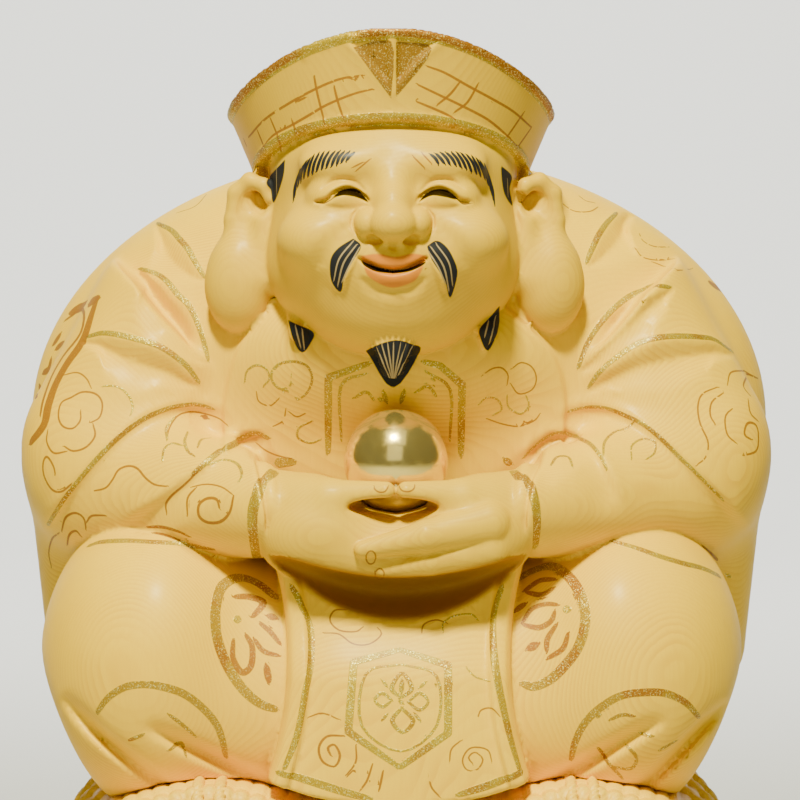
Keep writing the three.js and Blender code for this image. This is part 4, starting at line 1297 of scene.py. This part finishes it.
class Wire:
    """A shader socket that takes plain arithmetic."""

    def __init__(self, tree, socket):
        self.tree, self.socket = tree, socket

    def node(self, kind, inputs, output=0, **settings):
        made = self.tree.nodes.new(kind)
        for key, value in settings.items():
            setattr(made, key, value)
        for key, value in inputs.items():
            if isinstance(value, Wire):
                self.tree.links.new(value.socket, made.inputs[key])
            else:
                made.inputs[key].default_value = value
        return Wire(self.tree, made.outputs[output])

    def math(self, operation, *others):
        inputs = {0: self, **{i + 1: other for i, other in enumerate(others)}}
        return self.node("ShaderNodeMath", inputs, operation=operation)

    def __add__(self, other):
        return self.math("ADD", other)

    def __sub__(self, other):
        return self.math("SUBTRACT", other)

    def __mul__(self, other):
        return self.math("MULTIPLY", other)

    def __truediv__(self, other):
        return self.math("DIVIDE", other)

    def __rsub__(self, other):
        return self.math("MULTIPLY", -1.0).math("ADD", other)

    __radd__ = __add__
    __rmul__ = __mul__

    def step(self, low, high):
        """Smooth step of the value from low to high."""
        return self.node("ShaderNodeMapRange", {"Value": self, "From Min": low, "From Max": high},
                         interpolation_type="SMOOTHSTEP")

    def mix(self, low, high):
        """Colour between low and high by this factor."""
        settings = {"data_type": "RGBA", "clamp_factor": True}
        return self.node("ShaderNodeMix", {0: self, 6: low, 7: high}, 2, **settings)

    def parts(self):
        made = self.tree.nodes.new("ShaderNodeSeparateXYZ")
        self.tree.links.new(self.socket, made.inputs[0])
        return [Wire(self.tree, output) for output in made.outputs]

    def scaled(self, x, y, z):
        return self.node("ShaderNodeVectorMath", {0: self, 1: (x, y, z)}, operation="MULTIPLY")

    def noise(self, scale, detail=2.0, roughness=0.5):
        inputs = {"Vector": self, "Scale": scale, "Detail": detail, "Roughness": roughness}
        return self.node("ShaderNodeTexNoise", inputs)


def new_material(name):
    """A material with its shader and the place in the object's own metres."""
    material = bpy.data.materials.new(name)
    material.use_nodes = True
    tree = material.node_tree
    start = Wire(tree, None)
    place = start.node("ShaderNodeTexCoord", {}, 3)
    return material, tree.nodes["Principled BSDF"], place


def stored(place, name, vector=True):
    """A value stored on the mesh's points."""
    made = place.node("ShaderNodeAttribute", {}, 1 if vector else 2, attribute_name=name)
    return made.parts() if vector else made


def plug(shader, name, wire):
    wire.tree.links.new(wire.socket, shader.inputs[name])


PITH_X = -0.012
PITH_Y = 0.105
RING_WIDTH = 0.00062


def ring_wood(place, pale, late, soft):
    """Pale wood: year rings are shells round an upright pith behind the piece, each ends in a
    thin darker line, over faint upright fibres and broad changes of tone."""
    warp = (place.noise(26.0, 2.0) - 0.5) * 0.005
    x, y, z = place.parts()
    across, back = x - PITH_X, y - PITH_Y
    shell = (across * across + back * back).math("SQRT") + warp + z * 0.05
    phase = (shell / RING_WIDTH).math("FRACT")
    line = phase.step(0.2, 0.9) * (1.0 - phase.step(0.9, 1.0))
    strength = place.noise(55.0, 2.0).step(0.35, 0.7) * 0.34 + 0.1
    fibre = place.scaled(1500, 1500, 90).noise(1.0, 2.0)
    broad = place.noise(16.0, 3.0)
    colour = (line * strength).mix(pale, late)
    colour = (fibre.step(0.35, 0.75) * 0.3).mix(colour, soft)
    colour = (broad.step(0.35, 0.7) * 0.4).mix(colour, soft)
    return colour, line, fibre


def stroke_mask(layer, spare=0.2):
    """1 on a painted stroke: |side| below its half width, and no further off than a cell."""
    side, away, half = layer
    inside = 1.0 - (side.math("ABSOLUTE") - half).step(-0.06, 0.06)
    return inside * (1.0 - (away - half).step(spare, spare + 0.06))


# Colours of the wood: in the light, in painted shade on the head and hands, in the painted shadow under the
# hands, and in its hollows with painted shade and some patina; and of the paints
WOOD_PALE = (0.95, 0.61, 0.004, 1)
WOOD_LATE = (0.68, 0.32, 0.003, 1)
WOOD_SOFT = (0.84, 0.49, 0.004, 1)
WOOD_HEAD_SHADE = (0.5, 0.32, 0.002, 1)
WOOD_SHADE = (0.3, 0.12, 0.002, 1)
WOOD_HOLLOW_SHADE = (0.6, 0.33, 0.004, 1)
GOLD = (0.46, 0.32, 0.001, 1)
COPPER = (0.34, 0.13, 0.003, 1)
GLITTER_HIGHLIGHT = (1.0, 0.88, 0.25, 1)
CREST = (0.2, 0.09, 0.001, 1)
BROWN = (0.3, 0.12, 0.004, 1)
INK = (0.012, 0.014, 0.018, 1)
STRAND = (0.36, 0.27, 0.13, 1)
FLECK = (0.25, 0.12, 0.004, 1)
LIP = (0.62, 0.165, 0.001, 1)
DARK = (0.008, 0.003, 0.002, 1)
material, shader, place = new_material("carved_wood")
bare, ring_line, fibre = ring_wood(place, WOOD_PALE, WOOD_LATE, WOOD_SOFT)
# painted shade: the head, hat, ears and hands darker than the robe
bare = (stored(place, "shaded_head_and_hands", False) * 0.4).mix(bare, WOOD_HEAD_SHADE)
# hollows, near and further off, darkened: painted shade, with some patina
bare = (stored(place, "deep", False).step(0.65, 1.0) * 0.6).mix(bare, WOOD_HOLLOW_SHADE)
bare = (stored(place, "hollow", False).step(0.3, 1.0) * 0.45).mix(bare, WOOD_HOLLOW_SHADE)
# painted shadow under the hands
bare = (stored(place, "undercut", False) * 0.85).mix(bare, WOOD_SHADE)
# the hat: a stained crest, a gold hem, a wide rim of worn gold and a fine line below it
speck = place.noise(2600.0, 2.0, 0.7)
copper = place.noise(110.0, 2.0).step(0.5, 0.62) * 0.55
crest_mask = 1.0 - stored(place, "crest", False).step(-0.1, 0.05)
hem, rim, ring = stored(place, "hat")
on_wall = ring.step(0.89, 0.92)
rim_mask = (1.0 - rim.step(1.2, 1.3)) * on_wall
line_mask = (1.0 - (rim - 1.45).math("ABSOLUTE").step(0.14, 0.22)) * on_wall
hem_mask = (1.0 - hem.step(0.95, 1.05)) * on_wall
rim_tone = place.scaled(1, 1, 0.1).noise(22.0, 1.0).step(0.42, 0.5).mix(GOLD, COPPER)
colour = (crest_mask * 0.92).mix(bare, CREST)
metal = line_mask.math("MAXIMUM", hem_mask)
colour = metal.mix(colour, copper.mix(GOLD, COPPER))
colour = rim_mask.mix(colour, rim_tone)
metal = metal.math("MAXIMUM", rim_mask)
# the face: lips and hair
hair, lips, dark = stored(place, "zones")
lip_mask = 1.0 - lips.step(-0.2, 0.12)
dark_mask = 1.0 - dark.step(-0.1, 0.1)
hair_mask = 1.0 - hair.step(-0.05, 0.1)
colour = (lip_mask * 0.85).mix(colour, LIP)
colour = hair_mask.mix(colour, INK)
# the brush strokes, layer by layer; brown ones are speckled by the brush
for number in range(len(stroke_layers)):
    mask = stroke_mask(stored(place, f"stroke_{number}"))
    tone = stored(place, f"tone_{number}", False)
    gilded = 1.0 - tone.step(1.2, 1.5)
    speckled = speck.step(0.2, 0.5) * 0.25 + 0.72
    cover = gilded.math("MAXIMUM", tone.step(2.2, 2.5)).math("MAXIMUM", speckled)
    own = (tone + copper).math("MINIMUM", 1.0).mix(GOLD, COPPER)
    own = (tone - 1.0).math("MINIMUM", 1.0).math("MAXIMUM", 0.0).mix(own, BROWN)
    own = tone.step(2.2, 2.8).mix(own, INK)
    own = tone.step(3.2, 3.8).mix(own, STRAND)
    colour = (mask * cover).mix(colour, own)
    metal = metal.math("MAXIMUM", mask * gilded * (1.0 - tone.step(0.3, 0.8) * 0.7))
# the slits of eyes and mouth are dark and, as bare metal, give back no sheen
colour = (dark_mask * 0.97).mix(colour, DARK)
# bright grains of the gold and the crest: glitter of the paint, lightened as a painted highlight
glitter_highlight = metal.math("MAXIMUM", crest_mask * 0.5) * speck.step(0.54, 0.66)
colour = (glitter_highlight * 0.85).mix(colour, GLITTER_HIGHLIGHT)
colour = (metal * (1.0 - speck.step(0.34, 0.42)) * 0.3).mix(colour, FLECK)
black = dark_mask.math("MAXIMUM", hair_mask)
plug(shader, "Base Color", colour)
plug(shader, "Metallic", metal * 0.3 + glitter_highlight * 0.6 + dark_mask)
plug(shader, "Roughness", 0.5 + fibre * 0.1 + ring_line * 0.04 - metal * (0.16 - speck * 0.1) + black * 0.15)
plug(shader, "Coat Weight", 0.1 * (1.0 - black))
shader.inputs["Coat Roughness"].default_value = 0.26
shader.inputs["Specular IOR Level"].default_value = 0.2
relief = ring_line * -0.2 + fibre * 0.25 + metal * (speck * 5.0) + metal * 0.3
bump = place.node("ShaderNodeBump", {"Height": relief, "Strength": 0.35, "Distance": 0.00012})
plug(shader, "Normal", bump)
figure.data.materials.append(material)
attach(figure, "root")
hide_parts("figure")


# The gold ball rests in the hands: a polished gilt sphere with faint waves of the leaf. It can
# be lifted out. Its lower part, where the hands touch it, is rougher, and darker in colour as
# painted shade from the hands.
GILT_PALE = (0.9, 0.72, 0.22, 1)
GILT_WARM = (0.84, 0.62, 0.14, 1)
GILT_DULL_SHADED = (0.62, 0.5, 0.08, 1)
ROWS, AROUND = 65, 128
low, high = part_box("gold_ball")
centre = np.array((low + high) / 2)
polar = np.linspace(0, np.pi, ROWS)[:, None]
turn = np.linspace(0, 2 * np.pi, AROUND, endpoint=False)[None, :]
sphere = np.stack([np.sin(polar) * np.cos(turn), np.sin(polar) * np.sin(turn), np.cos(polar) + 0 * turn], -1)
ball = add_mesh("gilt_ball", centre + BALL_METRES * 0.998 * sphere.reshape(-1, 3),
                sheet_faces(ROWS, AROUND, True)[:, ::-1])
material, shader, place = new_material("mirror_gold")
below = 1.0 - place.parts()[2].step(0.162, 0.165)
gilt = (place.noise(160.0, 2.0).step(0.3, 0.7) * 0.5).mix(GILT_PALE, GILT_WARM)
# the lower part darker: painted shade from the hands
plug(shader, "Base Color", (below * 0.8).mix(gilt, GILT_DULL_SHADED))
plug(shader, "Roughness", 0.15 + place.noise(420.0, 2.0).step(0.4, 0.8) * 0.08 + below * 0.3)
shader.inputs["Metallic"].default_value = 0.9
waves = place.noise(230.0, 1.0)
plug(shader, "Normal", place.node("ShaderNodeBump", {"Height": waves, "Strength": 0.12, "Distance": 0.0004}))
ball.data.materials.append(material)
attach(ball, "root")
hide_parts("gold_ball")


# The rice bales, carved as straw: barrels with dished ends of radial straws, a scalloped rim,
# twisted ropes round the girth and a double rope over each front rim. Flat below.
STRAWS = 68  # round each barrel
ROUND = 6 * STRAWS  # points round a row
RIM_INSET = 0.0012
DISH = 0.0032  # depth of the ends inside their rims
COIL_RADIUS = 0.0155  # of the coiled rope on the ends
# Rows of points in millimetres, closer where ropes lie: radii on an end of 46, and distances
# from the barrel's middle
END_ROWS = [0, 3, 5.5, 7, 11, 13.6, 14.6, 15.5, 16.4, 17.4, 23, 30, 35.9]
BARREL_ROWS = [0, 0.9, 1.7, 2.4, 2.9, 8, 14, 20.6, 21.4, 22.3, 23.2, 24, 24.8, 25.7, 26.6, 27.4, 34, 41,
               48, 54, 57, 58, 58.6, 59.2, 60, 61, 62.4, 63.6, 64.4]
# The double rope over a front rim and down to the middle of the end: back and up
ROPE_WAY = [(-0.045, 0.0457), (-0.0625, 0.0457), (-0.0668, 0.0428), (-0.0632, 0.0364), (-0.0628, 0.02),
            (-0.0628, 0.0)]
ROPE_APART = 0.0027
ROPE_THICK = 0.00148


def bale(side):
    """Rows run from the middle of the front end over the barrel to the middle of the back end:
    a radius and a place along for each row, moved by straws, scallops and ropes."""
    end = np.concatenate([np.array(END_ROWS) / 46, np.linspace(0.82, 1, 8)])
    end_radius = end * (BALE_RADIUS - RIM_INSET)
    front = -BALE_HALF + DISH * (1 - ramp(end, 0.8, 0.93)) + 0.0012 * np.clip((end - 0.93) / 0.07, 0, 1) ** 2
    barrel = np.array(BARREL_ROWS) / 1000
    barrel = np.concatenate([-barrel[:0:-1], barrel])
    radius = np.concatenate([end_radius[:-1], np.full(len(barrel), BALE_RADIUS), end_radius[::-1][1:]])
    along = np.concatenate([front[:-1], barrel, -front[::-1][1:]])
    row = np.arange(len(radius))
    on_barrel = ((row >= len(end) - 1) & (row < len(end) - 1 + len(barrel)))[:, None]
    angle = np.linspace(0, 2 * np.pi, ROUND, endpoint=False)[None, :]
    r = radius[:, None] + 0 * angle
    y = along[:, None] + 0 * angle
    inner = np.clip((BALE_HALF - 0.007 - np.abs(y)) / 0.002, 0, 1)
    straw = 1 - np.abs(np.cos(STRAWS / 2 * angle)) ** 0.7
    lip = 0.00042 * np.cos(12 * angle) - 0.0009 * straw
    swell = BALE_SWELL * np.cos(np.pi * y / (2 * BALE_HALF)) * inner
    groove = 0.0006 * np.exp(-(((np.abs(y) - 0.0585) / 0.0009) ** 2))
    r = r + on_barrel * ((1 - inner) * lip + swell - groove - inner * 0.0005 * straw)
    for place in ROPE_PLACES:
        near = np.clip(1 - ((y - place) / ROPE_HALF) ** 2, 0, 1) ** 0.5
        strand = 0.85 + 0.15 * np.cos(STRAWS * angle + (y - place) * 1800)
        r = np.maximum(r, (BALE_RADIUS + swell + near * ROPE_RISE * strand) * (near > 0))
    ends = ~on_barrel
    rays = 0.0008 * straw * np.clip((r - 0.012) / 0.02, 0, 1)
    y = y - np.sign(y) * ends * (rays - 0.0016 * np.clip(1 - (r / 0.006) ** 2, 0, 1))
    coil = np.clip(1 - ((r - COIL_RADIUS) / 0.0022) ** 2, 0, 1) ** 0.5
    twist = 0.8 + 0.2 * np.cos(STRAWS / 2 * angle + r * 1500)
    y = y + np.sign(y) * ends * coil * (0.0016 * twist + rays)
    r = np.where(ends, r * (1 - 0.012 * straw * np.clip((r - 0.035) / 0.01, 0, 1)), r)
    x = side * BALE_X + r * np.sin(angle)
    z = np.maximum(BALE_Z - r * np.cos(angle), 0.0)
    return np.stack([x, y, z], -1).reshape(-1, 3), sheet_faces(len(radius), ROUND, True)


def rope(x, rows=90, around=20):
    """One strand over the front rim to the middle of the end: a tube with a twist."""
    way = np.array([(x, *place) for place in ROPE_WAY])
    spans = np.linspace(0, len(way) - 1, rows)
    path = np.stack([np.interp(spans, np.arange(len(way)), way[:, i]) for i in range(3)], 1)
    for _ in range(6):
        path[1:-1] = (path[:-2] + 2 * path[1:-1] + path[2:]) / 4
    tangent = np.gradient(path, axis=0)
    tangent /= np.linalg.norm(tangent, axis=1)[:, None]
    across = np.array([1.0, 0, 0])
    up = np.cross(across, tangent)
    angle = np.linspace(0, 2 * np.pi, around, endpoint=False)
    run = np.linspace(0, 1, rows)[:, None]
    thick = ROPE_THICK + 0.00018 * np.cos(3 * (angle[None, :] + 34 * run))
    out = np.cos(angle)[None, :, None] * across + np.sin(angle)[None, :, None] * up[:, None]
    tube = path[:, None] + thick[..., None] * out
    return tube.reshape(-1, 3), sheet_faces(rows, around, True)[:, ::-1]


meshes = []
for side in (-1, 1):
    meshes.append(bale(side))
    for offset in (-ROPE_APART, ROPE_APART):
        tube, faces = rope(offset)
        meshes.append((tube + [side * BALE_X, 0, BALE_Z], faces))
starts = np.cumsum([0] + [len(mesh[0]) for mesh in meshes])
straw = add_mesh("straw_bales", np.vstack([mesh[0] for mesh in meshes]),
                 np.vstack([mesh[1] + start for mesh, start in zip(meshes, starts)]))
material, shader, place = new_material("bale_wood")
bare, ring_line, fibre = ring_wood(place, WOOD_PALE, WOOD_LATE, WOOD_SOFT)
plug(shader, "Base Color", bare)
plug(shader, "Roughness", 0.5 + fibre * 0.12)
shader.inputs["Coat Weight"].default_value = 0.12
shader.inputs["Coat Roughness"].default_value = 0.35
stalks = place.scaled(1100, 30, 1100).noise(1.0, 2.0)
plug(shader, "Normal", place.node("ShaderNodeBump", {"Height": fibre * 0.2 - ring_line * 0.2 + stalks * 2.0,
                                                     "Strength": 0.5, "Distance": 0.00025}))
straw.data.materials.append(material)
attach(straw, "root")
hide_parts("rice_bales")
